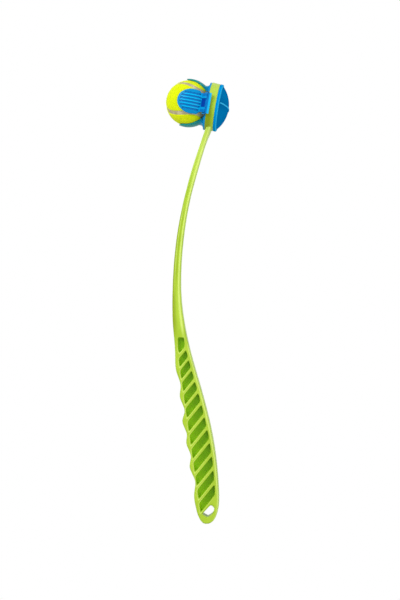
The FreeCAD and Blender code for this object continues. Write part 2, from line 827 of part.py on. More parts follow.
def make_cover_screws():
    body = new_body("cover_screws", head_place)
    body.AllowCompound = True
    shank = new_sketch(body, "Shank", "XY_Plane", shift=screw_seat)
    draw_circle(shank, screw_diagonal, screw_diagonal, dim.screw_radius)
    first = pad(body, shank, dim.screw_length, against=True)
    head = new_sketch(body, "ScrewHead", "XY_Plane", shift=screw_seat)
    draw_circle(head, screw_diagonal, screw_diagonal, dim.screw_head_radius)
    second = pad(body, head, dim.screw_head_thick)
    slot = new_sketch(body, "DriveSlot", "XY_Plane", shift=flange_front)
    draw(slot, box_corners(screw_diagonal - dim.slot_half, screw_diagonal + dim.slot_half,
                           screw_diagonal - dim.slot_width / 2, screw_diagonal + dim.slot_width / 2))
    third = pocket(body, slot, length=dim.slot_depth)
    pattern = repeat_around(body, first, SCREW_COUNT)
    pattern.Originals = [first, second, third]
    doc.recompute()
    return body


# ---------------------------------------------------------------------------------------
# Sprung jaws and their hinges
# ---------------------------------------------------------------------------------------

HALF_ROOT = math.sqrt(0.5)


def slanted(near_face, far_face, front, rear):
    """Corners of a plate that slants at 45 degrees, by its distances from a jaw's hinge."""
    corners = []
    for off, along in ((near_face, front), (far_face, front), (far_face, rear), (near_face, rear)):
        corners.append((hinge_height + (off + along) * HALF_ROOT, hinge_ahead + (off - along) * HALF_ROOT))
    return corners


def jaw_outline(back, tip, outer):
    """Half of what lies outside a jaw: a straight side, then two arcs to the round tip."""
    bend_across = dim.jaw_tip_radius * sine(dim.jaw_tip_turn)
    bend_up = tip - dim.jaw_tip_radius * (1 - cosine(dim.jaw_tip_turn))
    side_radius = (dim.jaw_half_width - bend_across) / (1 - sine(dim.jaw_tip_turn))
    side_up = bend_up - side_radius * cosine(dim.jaw_tip_turn)
    beyond = outer + past_surface
    corners = []
    for side in (1, -1):
        corners.append([
            (side * beyond, back - past_surface), (side * beyond, tip + past_surface),
            (0, tip + past_surface), (0, tip),
            (side * bend_across, bend_up, dim.jaw_tip_radius, -side),
            (side * dim.jaw_half_width, side_up, side_radius, -side),
            (side * (dim.jaw_half_width - dim.shoulder_inset), back + dim.shoulder_rise),
            (side * dim.leg_half_width, back + dim.leg_rise),
            (side * dim.leg_half_width, back - past_surface),
        ])
    # The two arcs that the grip grooves end short of: middle across, middle up, and radius.
    arcs = ((Size(0), tip - dim.jaw_tip_radius, dim.jaw_tip_radius),
            (dim.jaw_half_width - side_radius, side_up, side_radius))
    return corners, arcs, bend_across


def cut_grooves(body, label, outer, back, arcs, bend_across):
    """Grip grooves, each a slice of a disc about the middle of the ball."""
    root_radius = outer - dim.groove_depth
    half = dim.groove_width / 2
    for number in range(3):
        offset = dim.groove_pitch * (number + 0.5)
        middle_across, middle_up, radius = arcs[1 if float(offset) > float(bend_across) else 0]
        end = middle_up + leg_of(radius, offset - middle_across) - dim.groove_border - ball_ahead
        first_angle = -math.degrees(math.asin(float((ball_ahead - back + 1) / root_radius)))
        last_angle = math.degrees(math.asin(float(end / root_radius)))
        turn = FreeCAD.Rotation(V(1, 0, 0), (first_angle + last_angle) / 2)
        place = FreeCAD.Placement(V(0, 0, float(ball_ahead)), turn)
        groove = new_sketch(body, "%sGroove%d" % (label, number), "XY_Plane", place=place)
        for side in (1, -1):
            left, right = sorted((side * (offset - half), side * (offset + half)), key=float)
            draw(groove, box_corners(left, right, leg_of(root_radius, offset), outer + 1))
        before = body.Shape.Volume
        revolve(body, groove, "H_Axis", angle=last_angle - first_angle, groove=True)
        if not body.Shape.Volume < before:
            raise RuntimeError(groove.Name + " cuts nothing")


def make_jaw(label, placement):
    body = new_body(label, placement)
    inner = dim.ball_radius + dim.jaw_gap
    outer = inner + dim.jaw_thick
    tip = ball_ahead + dim.jaw_reach
    # The middle line of the slanting plate beside the hinge meets the middle of the shell here.
    middle = (inner + outer) / 2
    line = hinge_height + hinge_ahead + (dim.leg_inner + dim.leg_thick / 2) / HALF_ROOT
    apart = line - ball_ahead
    meet_up = (line + ball_ahead - root(middle * middle * 2 - apart * apart)) / 2
    meet_across = line - meet_up
    back = meet_up - dim.jaw_skirt
    leg_front = (hinge_height - meet_across + meet_up - hinge_ahead) * HALF_ROOT + dim.leg_overlap
    shell = new_sketch(body, label + "Shell", "YZ_Plane")
    draw(shell, [
        (leg_of(inner, ball_ahead - back), back),
        (leg_of(inner, dim.jaw_reach), tip, inner, 1),
        (leg_of(outer, dim.jaw_reach), tip),
        (leg_of(outer, ball_ahead - back), back, outer, -1),
    ])
    revolve(body, shell, angle=JAW_SWEEP)
    outlines, arcs, bend_across = jaw_outline(back, tip, outer)
    trim = new_sketch(body, label + "Trim", "XZ_Plane")
    for corners in outlines:
        draw(trim, corners)
    pocket(body, trim, both_ways=True)
    cut_grooves(body, label, outer, back, arcs, bend_across)
    # Plate from the shell over the flange to the finger bar, with a raised rail at each side.
    face = dim.leg_inner + dim.leg_thick
    plate = new_sketch(body, label + "Plate", "YZ_Plane")
    draw(plate, slanted(dim.leg_inner, face, -leg_front, dim.leg_rear))
    pad(body, plate, dim.leg_half_width * 2, both_ways=True)
    for name, start in (("HighRail", dim.window_half), ("LowRail", -dim.leg_half_width)):
        rail = new_sketch(body, label + name, "YZ_Plane", shift=start)
        draw(rail, slanted(dim.leg_inner, face + dim.rail_height, -leg_front, dim.leg_rear))
        pad(body, rail, dim.leg_half_width - dim.window_half)
    barrel = new_sketch(body, label + "Barrel", "YZ_Plane")
    draw_circle(barrel, hinge_height, hinge_ahead, dim.barrel_radius)
    pad(body, barrel, dim.leg_half_width * 2, both_ways=True)
    # Room for the spring's coil, behind the thin middle of the plate.
    room = new_sketch(body, label + "Room", "YZ_Plane")
    draw(room, slanted(-dim.barrel_radius * 2, dim.coil_room, -dim.coil_room_front,
                       dim.leg_rear + past_surface))
    pocket(body, room, length=dim.window_half * 2, both_ways=True)
    bar = new_sketch(body, label + "Bar", "YZ_Plane")
    bar_front = flange_front - dim.bar_drop
    draw(bar, box_corners(bar_bottom, bar_bottom + dim.bar_thick, bar_front - dim.bar_width, bar_front))
    pad(body, bar, dim.bar_half_length * 2, both_ways=True)
    hole = new_sketch(body, label + "Hole", "YZ_Plane")
    draw_circle(hole, hinge_height, hinge_ahead, dim.pin_radius + dim.hinge_fit)
    pocket(body, hole, both_ways=True)
    return body


def make_jaw_pins():
    body = new_body("jaw_pins", head_place)
    body.AllowCompound = True
    shank = new_sketch(body, "PinShank", "YZ_Plane", shift=-lug_outer)
    draw_circle(shank, hinge_height, hinge_ahead, dim.pin_radius)
    first = pad(body, shank, lug_outer * 2 + dim.pin_tail)
    head = new_sketch(body, "PinHead", "YZ_Plane", shift=-lug_outer - dim.pin_head_thick)
    draw_circle(head, hinge_height, hinge_ahead, pin_head_radius)
    second = pad(body, head, dim.pin_head_thick)
    pattern = repeat_around(body, first, JAW_COUNT)
    pattern.Originals = [first, second]
    doc.recompute()
    return body


def make_pin_clips():
    body = new_body("pin_clips", head_place)
    body.AllowCompound = True
    ring = new_sketch(body, "ClipRing", "YZ_Plane", shift=lug_outer + dim.clip_gap)
    draw_circle(ring, hinge_height, hinge_ahead, dim.pin_radius)
    draw_circle(ring, hinge_height, hinge_ahead, pin_head_radius)
    repeat_around(body, pad(body, ring, dim.clip_thick), JAW_COUNT)
    return body


def make_jaw_spring(label, placement):
    """Torsion spring: a coil round the pin, one end under the finger bar, one in the flange."""
    body = new_body(label, placement)
    wire = float(dim.jaw_wire) / 2
    pin_up = float(hinge_ahead)
    pin_out = float(hinge_height)
    axis_place = FreeCAD.Placement(V(0, pin_out, pin_up), FreeCAD.Rotation())
    section = new_sketch(body, label + "Wire", "XY_Plane", place=axis_place)
    draw_circle(section, -dim.jaw_coil_half, jaw_coil_radius, dim.jaw_wire / 2)
    turns = body.newObject("PartDesign::AdditiveHelix", label + "Coil")
    turns.Profile = section
    turns.ReferenceAxis = (section, ["H_Axis"])
    turns.Mode = "height-turns-angle"
    turns.Height = float(dim.jaw_coil_half * 2)
    turns.setExpression("Height", (dim.jaw_coil_half * 2).words)
    turns.Turns = JAW_COIL_TURNS
    doc.recompute()
    low = -float(dim.jaw_coil_half)
    high = float(dim.jaw_coil_half)
    top = pin_out + float(jaw_coil_radius)
    bottom = pin_out - float(jaw_coil_radius)
    bend = pin_up - float(jaw_coil_radius)
    bar_end = V(low, float(bar_bottom) - wire - float(dim.bar_end_gap), pin_up - float(dim.bar_end_drop))
    rod(body, label + "BarEnd", V(low, top, pin_up), bar_end, wire)
    rod(body, label + "Bend", V(high, bottom, pin_up), V(high, bottom, bend - wire), wire)
    flange_end = V(high, bottom - float(dim.flange_end), bend)
    rod(body, label + "FlangeEnd", V(high, bottom + wire, bend), flange_end, wire)
    return body


def rod(body, name, begin, finish, radius):
    """A straight round rod between two points, added to the body."""
    way = finish - begin
    place = FreeCAD.Placement(begin, FreeCAD.Rotation(UP, way))
    section = new_sketch(body, name, "XY_Plane", place=place)
    draw_circle(section, 0, 0, radius)
    return pad(body, section, Size(way.Length))


# ---------------------------------------------------------------------------------------
# Ejector behind the ball
# ---------------------------------------------------------------------------------------


def make_seat_pad():
    body = new_body("seat_pad", head_place)
    groove_front = bulkhead_back - dim.clip_play
    groove_back = groove_front - dim.stem_clip_thick - dim.clip_play
    edge = pad_radius - dim.pad_edge
    profile = new_sketch(body, "PadProfile", "XZ_Plane")
    draw(profile, [
        (0, ball_ahead - pad_dish),
        (edge, sphere_height(pad_dish, edge), pad_dish, 1),
        (pad_radius, sphere_height(pad_dish, edge)),
        (pad_radius, pad_back),
        (dim.stem_radius, pad_back),
        (dim.stem_radius, groove_front),
        (stem_neck, groove_front),
        (stem_neck, groove_back),
        (dim.stem_radius, groove_back),
        (dim.stem_radius, bulkhead_back - dim.stem_tail),
        (0, bulkhead_back - dim.stem_tail),
    ])
    revolve(body, profile)
    return body


def make_stem_clip():
    body = new_body("stem_clip", head_place)
    top = bulkhead_back - dim.clip_play * 1.5
    ring = new_sketch(body, "StemClipRing", "XY_Plane", shift=top)
    draw_circle(ring, 0, 0, stem_neck)
    draw_circle(ring, 0, 0, dim.stem_clip_radius)
    pad(body, ring, dim.stem_clip_thick, against=True)
    slit = new_sketch(body, "StemClipSlit", "XY_Plane", shift=top)
    draw(slit, box_corners(0, dim.stem_clip_radius + past_surface,
                           -dim.stem_clip_slit / 2, dim.stem_clip_slit / 2))
    pocket(body, slit)
    return body


def make_seat_spring():
    body = new_body("seat_spring", head_place)
    wire = dim.seat_wire / 2
    low = bulkhead_front + dim.seat_coil_gap + wire
    high = pad_back - dim.seat_coil_gap - wire
    section = new_sketch(body, "SeatWire", "XZ_Plane")
    draw_circle(section, dim.seat_coil_radius, low, wire)
    coil = body.newObject("PartDesign::AdditiveHelix", "SeatCoil")
    coil.Profile = section
    coil.ReferenceAxis = (origin_feature(body, "Z_Axis"), [""])
    coil.Mode = "height-turns-angle"
    coil.Height = float(high - low)
    coil.setExpression("Height", (high - low).words)
    coil.Turns = SEAT_COIL_TURNS
    doc.recompute()
    return body


# ---------------------------------------------------------------------------------------
# Ball
# ---------------------------------------------------------------------------------------


def make_ball_core(label, placement):
    """Half of the hollow rubber core."""
    body = new_body(label, placement)
    outer = dim.ball_radius - dim.felt_thick
    inner = outer - dim.core_wall
    profile = new_sketch(body, label + "Profile", "XZ_Plane")
    draw(profile, [(outer, 0), (0, outer, outer, 1), (0, inner), (inner, 0, inner, -1)])
    revolve(body, profile)
    return body


SEAM_POINTS = 48
SEAM_STRETCHES = 4


def seam_point(share, radius):
    """Point of the ball's seam, a closed curve with two lobes that lies on a sphere."""
    angle = 2 * math.pi * share
    wide = 0.75
    narrow = 0.25
    return V(wide * math.cos(angle) + narrow * math.cos(3 * angle),
             wide * math.sin(angle) - narrow * math.sin(3 * angle),
             2 * math.sqrt(wide * narrow) * math.sin(2 * angle)) * radius


def make_ball_cover():
    """The two felt panels and the seam between them, cut from one hollow ball."""
    outer = float(dim.ball_radius)
    inner = outer - float(dim.felt_thick)
    middle = (outer + inner) / 2
    points = [seam_point(index / SEAM_POINTS, middle) for index in range(SEAM_POINTS)]
    curve = Part.BSplineCurve()
    curve.interpolate(Points=points, PeriodicFlag=True)
    reach = math.hypot(float(dim.seam_width) / 2, outer - middle)
    step = (curve.LastParameter - curve.FirstParameter) / SEAM_STRETCHES
    tubes = []
    for index in range(SEAM_STRETCHES):
        start = curve.FirstParameter + step * index
        section = Part.Circle(curve.value(start), curve.tangent(start)[0], reach)
        path = Part.Wire(curve.toShape(start, start + step))
        tubes.append(path.makePipeShell([Part.Wire(section.toShape())], True, False))
    hollow = Part.makeSphere(inner)
    felt = Part.makeSphere(outer).cut(hollow).cut(tubes)
    band = Part.makeSphere(outer - float(dim.seam_sink)).cut(hollow)
    seam = band.common(tubes[0].multiFuse(tubes[1:])).removeSplitter()
    panels = sorted(felt.Solids, key=lambda solid: solid.CenterOfMass.x)
    turn = FreeCAD.Rotation(float(dim.seam_yaw), float(dim.seam_pitch), float(dim.seam_roll))
    shapes = {"ball_felt_a": panels[0], "ball_felt_b": panels[1], "ball_seam": seam.Solids[0]}
    for label, shape in shapes.items():
        feature = doc.addObject("Part::Feature", label)
        feature.Label = label
        feature.Shape = shape
        feature.Placement = FreeCAD.Placement(V(0, 0, 0), turn)


# ---------------------------------------------------------------------------------------
# The whole launcher
# ---------------------------------------------------------------------------------------

far_place = head_place.multiply(far_side)
upside_down = FreeCAD.Placement(V(0, 0, 0), FreeCAD.Rotation(V(1, 0, 0), 180))

make_handle()
make_front_housing()
make_back_cover()
make_cover_screws()
make_jaw("jaw_near", head_place)
make_jaw("jaw_far", far_place)
make_jaw_pins()
make_pin_clips()
make_jaw_spring("jaw_spring_near", head_place)
make_jaw_spring("jaw_spring_far", far_place)
make_seat_pad()
make_stem_clip()
make_seat_spring()
make_ball_core("ball_core_a", FreeCAD.Placement())
make_ball_core("ball_core_b", upside_down)
make_ball_cover()

for item in doc.Objects:
    if "Invalid" in item.State or "Error" in item.State:
        raise RuntimeError(item.Name + " could not be made")

pieces = [item for item in doc.Objects if item.TypeId in ("PartDesign::Body", "Part::Feature")]
for piece in pieces:
    if piece.Shape.isNull() or not piece.Shape.isValid():
        raise RuntimeError(piece.Label + " has no valid shape")

os.makedirs("parts", exist_ok=True)
for piece in pieces:
    piece.Shape.exportStep("parts/%s.step" % piece.Label)
    print(piece.Label, "solids", len(piece.Shape.Solids), "volume", round(piece.Shape.Volume, 1))
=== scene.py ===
# %% [markdown]
# # Automatic dog ball launcher
#
# A long curved throwing stick with a ribbed grip, and a sprung head that holds a felt ball.
# The solid model gives the exact places of all the pieces. This lesson gives them their looks:
# mesh grids for the soft and finely shaped pieces, and procedural nodes on every surface.
#
# Shapes are worked out in millimetres and become metres when their mesh is made. Lamps, the
# camera and the heights of bumps are in metres. The middle of the ball is the origin, +Y runs
# along the stick to the head, and +Z is square to the stick's flat side.

# %% Load the solid model
import math

import bmesh
import bpy
import numpy as np
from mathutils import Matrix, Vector


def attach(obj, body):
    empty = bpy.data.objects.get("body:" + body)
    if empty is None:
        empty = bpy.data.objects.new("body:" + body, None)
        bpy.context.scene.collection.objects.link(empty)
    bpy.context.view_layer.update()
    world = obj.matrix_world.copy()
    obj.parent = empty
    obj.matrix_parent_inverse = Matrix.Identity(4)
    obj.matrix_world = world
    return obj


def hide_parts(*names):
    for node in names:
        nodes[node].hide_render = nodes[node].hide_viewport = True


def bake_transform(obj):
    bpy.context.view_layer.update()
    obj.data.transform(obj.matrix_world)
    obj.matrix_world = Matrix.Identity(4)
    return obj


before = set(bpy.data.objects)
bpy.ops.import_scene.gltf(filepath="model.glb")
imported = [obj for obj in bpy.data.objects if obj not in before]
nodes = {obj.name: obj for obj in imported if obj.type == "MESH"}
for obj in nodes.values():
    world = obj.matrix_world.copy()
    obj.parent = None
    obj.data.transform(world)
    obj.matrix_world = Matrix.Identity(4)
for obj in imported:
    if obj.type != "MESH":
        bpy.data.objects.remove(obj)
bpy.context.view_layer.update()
scene = bpy.context.scene
print("solid pieces:", len(nodes))

# %% [markdown]
# ## Grids
#
# Each new piece is a grid of points: a surface with two parameters, along the rows and along the
# columns. Faces could be placed by hand or cut from solids, but a grid keeps the formula in
# sight and gives even four-sided faces.

# %% Faces of a grid


def grid_faces(rows, columns, wrap_rows=False, wrap_columns=False, flip=False):
    """Four-sided faces between neighbouring points of a grid, closed round where it wraps."""
    row = np.arange(rows if wrap_rows else rows - 1)[:, None]
    column = np.arange(columns if wrap_columns else columns - 1)[None, :]
    next_row = (row + 1) % rows
    next_column = (column + 1) % columns
    corners = [row * columns + column, row * columns + next_column,
               next_row * columns + next_column, next_row * columns + column]
    if flip:
        corners.reverse()
    return np.stack([np.broadcast_to(corner, (len(row), column.shape[1])) for corner in corners],
                    axis=-1).reshape(-1, 4)


print("faces of a 3 by 4 grid:", len(grid_faces(3, 4)))

# %% [markdown]
# ## Meshes
#
# A mesh keeps its points, the corners of its faces, and where each face starts. bmesh could add
# them one by one, but foreach_set takes whole arrays. A named value on every point tells a
# material where the point lies.

# %% Meshes from arrays
MM = 0.001


def placed(name, data):
    """A new object with its data, linked to the scene."""
    thing = bpy.data.objects.new(name, data)
    scene.collection.objects.link(thing)
    return thing


def mesh_object(name, points, faces, material, attributes=None):
    """An object made from points in millimetres and faces, with its named point values."""
    points = np.asarray(points, float).reshape(-1, 3) * MM
    faces = np.asarray(faces)
    mesh = bpy.data.meshes.new(name)
    mesh.vertices.add(len(points))
    mesh.vertices.foreach_set("co", points.astype(np.float32).ravel())
    mesh.loops.add(faces.size)
    mesh.loops.foreach_set("vertex_index", faces.astype(np.int32).ravel())
    mesh.polygons.add(len(faces))
    mesh.polygons.foreach_set("loop_start", np.arange(0, faces.size, faces.shape[1], dtype=np.int32))
    mesh.update(calc_edges=True)
    mesh.validate()
    mesh.shade_smooth()
    for word, values in (attributes or {}).items():
        layer = mesh.attributes.new(word, "FLOAT", "POINT")
        layer.data.foreach_set("value", np.asarray(values, np.float32).ravel())
    mesh.materials.append(material)
    return placed(name, mesh)


print("millimetre in metres:", MM)

# %% [markdown]
# ## Steps, humps and borders
#
# Three formulas shape much of what follows: a soft step, a soft hump, and the search for a
# border that has no formula. Straight ramps would be simpler, but leave creases in a surface.

# %% Small formulas


def smooth_step(values, start, finish):
    """0 before the start and 1 after the finish; between them, with s the share of the way, the
    rise is 3 s squared - 2 s cubed."""
    share = np.clip((values - start) / (finish - start), 0, 1)
    return share * share * (3 - 2 * share)


def hump(values, middle, width):
    """A bell curve, e to the power of minus ((value - middle) / width) squared."""
    return np.exp(-((values - middle) / width) ** 2)


def unit(vectors):
    """Each vector divided by its length."""
    return vectors / np.linalg.norm(vectors, axis=1)[:, None]


def halving(near, far, is_beyond):
    """The borders between near and far at which a test turns true: 40 times over, the middle
    (near + far) / 2 becomes the new far where the test is true, and the new near elsewhere."""
    for _ in range(40):
        middle = (near + far) / 2
        beyond = is_beyond(middle)
        far, near = np.where(beyond, middle, far), np.where(beyond, near, middle)
    return far


def full_turn(count):
    """Even angles round a full turn, without the end that repeats the start."""
    return np.linspace(0, 2 * math.pi, count, endpoint=False)


print("a quarter up a step:", smooth_step(0.25, 0, 1))

# %% [markdown]
# ## The head's own directions
#
# The head leans ten degrees from the stick. Plain X and Y would need a sine and a cosine in
# every number, so its parts are placed by distances from the middle of the ring: along the
# stick's way, up, and ahead in the way of the throw.

# %% Directions
TILT = math.radians(10)
THROW = np.array([-math.cos(TILT), math.sin(TILT)])
STICK = np.array([-math.sin(TILT), -math.cos(TILT)])
BALL_AHEAD = 35.8
RING_CENTRE = -BALL_AHEAD * THROW
print("middle of the ring:", RING_CENTRE.round(2))

# %% [markdown]
# ## Shader nodes
#
# A shader is a tree of nodes. Arithmetic between sockets is easier to read as a formula, so a
# small class wraps a socket and turns + - * / into Math nodes.

# %% Signals


class Signal:
    """A socket that carries a number, a colour or a vector through a material."""

    def __init__(self, recipe, socket):
        self.recipe = recipe
        self.socket = socket

    def math(self, operation, *others):
        """A step of arithmetic with this signal as the first number."""
        return self.recipe.math(operation, self, *others)

    def __add__(self, other):
        return self.math("ADD", other)

    __radd__ = __add__

    def __sub__(self, other):
        return self.math("SUBTRACT", other)

    def __rsub__(self, other):
        return self.recipe.math("SUBTRACT", other, self)

    def __mul__(self, other):
        return self.math("MULTIPLY", other)

    __rmul__ = __mul__

    def __truediv__(self, other):
        return self.math("DIVIDE", other)

    def __rtruediv__(self, other):
        return self.recipe.math("DIVIDE", other, self)

    def between(self, start, finish):
        """0 before the start, 1 after the finish, and an even S-shaped rise between them."""
        settings = {"interpolation_type": "SMOOTHSTEP"}
        return self.recipe.node("ShaderNodeMapRange", settings, 0, self, start, finish, 0.0, 1.0)


print("names in a signal:", len(vars(Signal)))

# %% [markdown]
# ## Recipes
#
# Every material starts empty and gets its nodes from a recipe. The nodes could be copied from a
# finished material, but then nobody could read how it was made.

# %% Recipes


class Recipe:
    """A new material and the nodes in it."""

    def __init__(self, name):
        self.material = bpy.data.materials.new(name)
        self.material.use_nodes = True
        self.tree = self.material.node_tree
        self.tree.nodes.clear()

    def node(self, kind, settings, output, *inputs, **named):
        """Place a node, set it up, feed its inputs and return one of its outputs."""
        made = self.tree.nodes.new(kind)
        for word, value in settings.items():
            setattr(made, word, value)
        for key, value in list(enumerate(inputs)) + list(named.items()):
            if value is None:
                continue
            socket = made.inputs[key.replace("_", " ") if isinstance(key, str) else key]
            if isinstance(value, Signal):
                self.tree.links.new(value.socket, socket)
            else:
                socket.default_value = value
        return Signal(self, made.outputs[output])

    def math(self, operation, *inputs):
        """A Math node, which does one step of arithmetic."""
        return self.node("ShaderNodeMath", {"operation": operation}, 0, *inputs)

    def place(self):
        """Object coordinates, in metres."""
        return self.node("ShaderNodeTexCoord", {}, "Object")

    def noise(self, scale, detail, roughness=0.5, stretch=(1, 1, 1)):
        """Soft noise from 0 to 1; the stretch makes it finer along an axis."""
        where = self.node("ShaderNodeMapping", {}, 0, self.place(), Scale=stretch)
        return self.node("ShaderNodeTexNoise", {}, 0, where, Scale=scale, Detail=detail,
                         Roughness=roughness)

    def along(self, way, start):
        """Distance in millimetres along a flat direction, from a starting point in the plane."""
        from_start = self.node("ShaderNodeVectorMath", {"operation": "SUBTRACT"}, 0, self.place(),
                               (start[0] * MM, start[1] * MM, 0))
        return self.node("ShaderNodeVectorMath", {"operation": "DOT_PRODUCT"}, "Value", from_start,
                         (*way, 0)) / MM

    def away(self, start):
        """Distance in millimetres from a point in the plane of the stick."""
        return self.node("ShaderNodeVectorMath", {"operation": "DISTANCE"}, "Value", self.place(),
                         (start[0] * MM, start[1] * MM, 0)) / MM

    def up(self):
        """Distance in millimetres from the plane of the stick, the same on both sides."""
        parts = self.node("ShaderNodeSeparateXYZ", {}, "Z", self.place())
        return parts.math("ABSOLUTE") / MM

    def value_of(self, word):
        """A named value that the mesh carries on its points."""
        return self.node("ShaderNodeAttribute", {"attribute_name": word}, "Fac")

    def mix(self, share, first, second):
        """First colour where the share is 0, second where it is 1."""
        unused = [None] * 5
        return self.node("ShaderNodeMix", {"data_type": "RGBA"}, 2, share, *unused, first, second)

    def bump(self, height, distance, strength, normal=None):
        """A normal tilted by the slope of a height, as if it rose by the distance in metres."""
        return self.node("ShaderNodeBump", {}, 0, Height=height, Distance=distance,
                         Strength=strength, Normal=normal)

    def end(self, shader):
        """Make a shader the surface of the material, and return the material."""
        output = self.tree.nodes.new("ShaderNodeOutputMaterial")
        self.tree.links.new(shader.socket, output.inputs[0])
        return self.material

    def finish(self, **inputs):
        """Give the inputs to the surface shader and return the material."""
        return self.end(self.node("ShaderNodeBsdfPrincipled", {}, 0, **inputs))


print("names in a recipe:", len(vars(Recipe)))

# %% [markdown]
# ## Moulded plastic
#
# Moulded plastic is never one flat colour: the pigment is a little cloudy, the surface has a
# fine orange peel, and handling leaves faint scuffs. An image could be wrapped round each piece,
# but noise in object coordinates has no seams. The Bevel node rounds the edges, and masks tell
# where a second tone lies; on these pieces the second tones are painted highlights, painted
# shade and a painted reflection. Colours are named as a screen shows them, from 0 to 255.

# %% Moulded plastic


def colour(red, green, blue):
    """A display colour from 0 to 255 as the linear colour that shaders use."""
    linear = [(c / 255 / 12.92 if c <= 10 else ((c / 255 + 0.055) / 1.055) ** 2.4)
              for c in (red, green, blue)]
    return (*linear, 1.0)


def plastic(name, dark, light, rough=0.36, soft_edge=0.0005, gloss=0.2, tones=()):
    """Moulded plastic in display colours: cloudy colour, fine orange peel, faint scuffs, rounded
    edges, and a tone for each pair of a mask and a colour."""
    recipe = Recipe(name)
    cloud = recipe.noise(38, 4)
    peel = recipe.noise(1900, 2)
    scuff = recipe.noise(150, 6, 0.7, stretch=(1, 0.22, 1)).between(0.60, 0.78)
    edge = recipe.node("ShaderNodeBevel", {"samples": 6}, 0, Radius=soft_edge) if soft_edge else None
    paint = recipe.mix(cloud.between(0.3, 0.7), colour(*dark), colour(*light))
    for mask, tone in tones:
        paint = recipe.mix(mask(recipe), paint, colour(*tone))
    return recipe.finish(
        Base_Color=paint,
        Roughness=rough + (cloud - 0.5) * 0.08 + scuff * 0.12,
        Specular_IOR_Level=gloss,
        Normal=recipe.bump(peel, 0.00002, 0.6, edge))


pad_blue = plastic("pad_plastic", (10, 60, 110), (18, 76, 128), rough=0.5)
print("nodes, pad:", len(pad_blue.node_tree.nodes))

# %% [markdown]
# ## Tones of the housing and the dome
#
# The housing's arms are painted greener: a painted reflection of the bright ball. The dome is
# painted a darker blue than its rim as painted shade, and its ribs and the rim's rear edge get
# painted highlights. They could be separate materials on chosen faces, but a mask from a
# distance needs no choosing and can have a soft border.

# %% Housing and dome
DOME_CENTRE = RING_CENTRE + 22.4 * THROW
DOME_RADIUS = 45.2


def ahead(recipe):
    """Distance from the ring's middle in the way of the throw."""
    return recipe.along(THROW, RING_CENTRE)


def ball_reflection_on_arms(recipe):
    """The thin arms round the ball, ahead of the flange: a painted reflection of the ball."""
    return ahead(recipe).between(9, 17)


def lit_rim(recipe):
    """The cover's rim beside the ring, which keeps the lit blue where the dome has painted shade."""
    return ahead(recipe).between(-10.8, -10.1)


def rim_edge_highlight(recipe):
    """The rounded rear edge of the rim, painted lighter as a painted highlight."""
    return lit_rim(recipe) * (1 - ahead(recipe).between(-9.8, -9.0))


def dome_rib_highlights(recipe):
    """The ribs stand outside the dome's sphere, and get a painted highlight."""
    return recipe.away(DOME_CENTRE).between(DOME_RADIUS + 0.2, DOME_RADIUS + 0.7)


# The arms' teal tone is a painted reflection of the yellow ball.
housing_blue = plastic("housing_plastic", (0, 138, 200), (0, 152, 214), gloss=0.1,
                       tones=((ball_reflection_on_arms, (0, 138, 140)),))
# The dome's darker blue is painted shade on the side turned from the lamps; the rim's tone is the
# cover's lit blue.
shaded_dome_blue = plastic("dome_plastic", (0, 104, 164), (0, 122, 186), gloss=0.0, tones=(
    (dome_rib_highlights, (60, 190, 240)), (lit_rim, (0, 146, 214)),
    (rim_edge_highlight, (50, 178, 226))))
print("dome centre:", DOME_CENTRE.round(2))

# %% [markdown]
# ## Tones of the jaws
#
# Each jaw is a grooved shell over the ball with a flat root and a finger bar behind it. Its
# tones are painted light and shade: painted shade in the grooves, on the root and in its
# window, and painted highlights on the ridges and the bar's rear edge, with the rails kept in
# the lit blue. Painted maps could show them, but the distance from the ball's middle finds the
# grooves, and a wave with their pitch finds the ridges.

# %% Jaws
SHELL_RADIUS = 36.3
GROOVE_PITCH = 4.5
TIP_AHEAD = 33.8


def aside(recipe):
    """Distance from the head's middle plane, which holds the throw and the way up."""
    return recipe.along(STICK, RING_CENTRE).math("ABSOLUTE")


def groove_shade(recipe):
    """Painted shade inside the shell's own sphere, in the grooves."""
    return 1 - recipe.away((0, 0)).between(SHELL_RADIUS - 0.8, SHELL_RADIUS - 0.2)


def ridge_highlights(recipe):
    """Painted highlights between the grooves, short of the jaw's round tip."""
    turns = recipe.along(STICK, RING_CENTRE) * (2 * math.pi / GROOVE_PITCH)
    past = (ahead(recipe) - TIP_AHEAD).math("MAXIMUM", 0.0)
    side = aside(recipe)
    reach = (past * past + side * side).math("SQRT")
    on_shell = recipe.away((0, 0)).between(35.9, 36.2) * ahead(recipe).between(15.0, 16.5)
    return turns.math("COSINE").between(-0.1, 0.9) * (1 - reach.between(10.6, 11.8)) * on_shell


def shaded_plate(recipe):
    """The jaw's flat root between the shell and the finger bar, painted darker as painted shade."""
    return 1 - ahead(recipe).between(14.6, 15.4)


def lit_rails(recipe):
    """The two raised rails of the root, on both sides of its window, up to the finger bar, painted in
    the lit blue over the root's painted shade.
    """
    side = aside(recipe)
    inner = ahead(recipe).between(7.9, 8.3) * side.between(6.1, 6.5)
    return shaded_plate(recipe) * inner * (1 - side.between(9.0, 9.8))


def bar_highlight(recipe):
    """A painted highlight on the rear edge of the finger bar, which is further out than the jaw's
    shell.
    """
    return recipe.up().between(36.6, 36.9) * (1 - ahead(recipe).between(4.2, 5.0))


def window_shadow(recipe):
    """Painted shadow, a deep blue on the low middle of the jaw's plate, between its two rails."""
    behind = 1 - ahead(recipe).between(14.2, 15.4)
    return (1 - aside(recipe).between(5.9, 6.3)) * behind * (1 - recipe.up().between(36.4, 36.8))


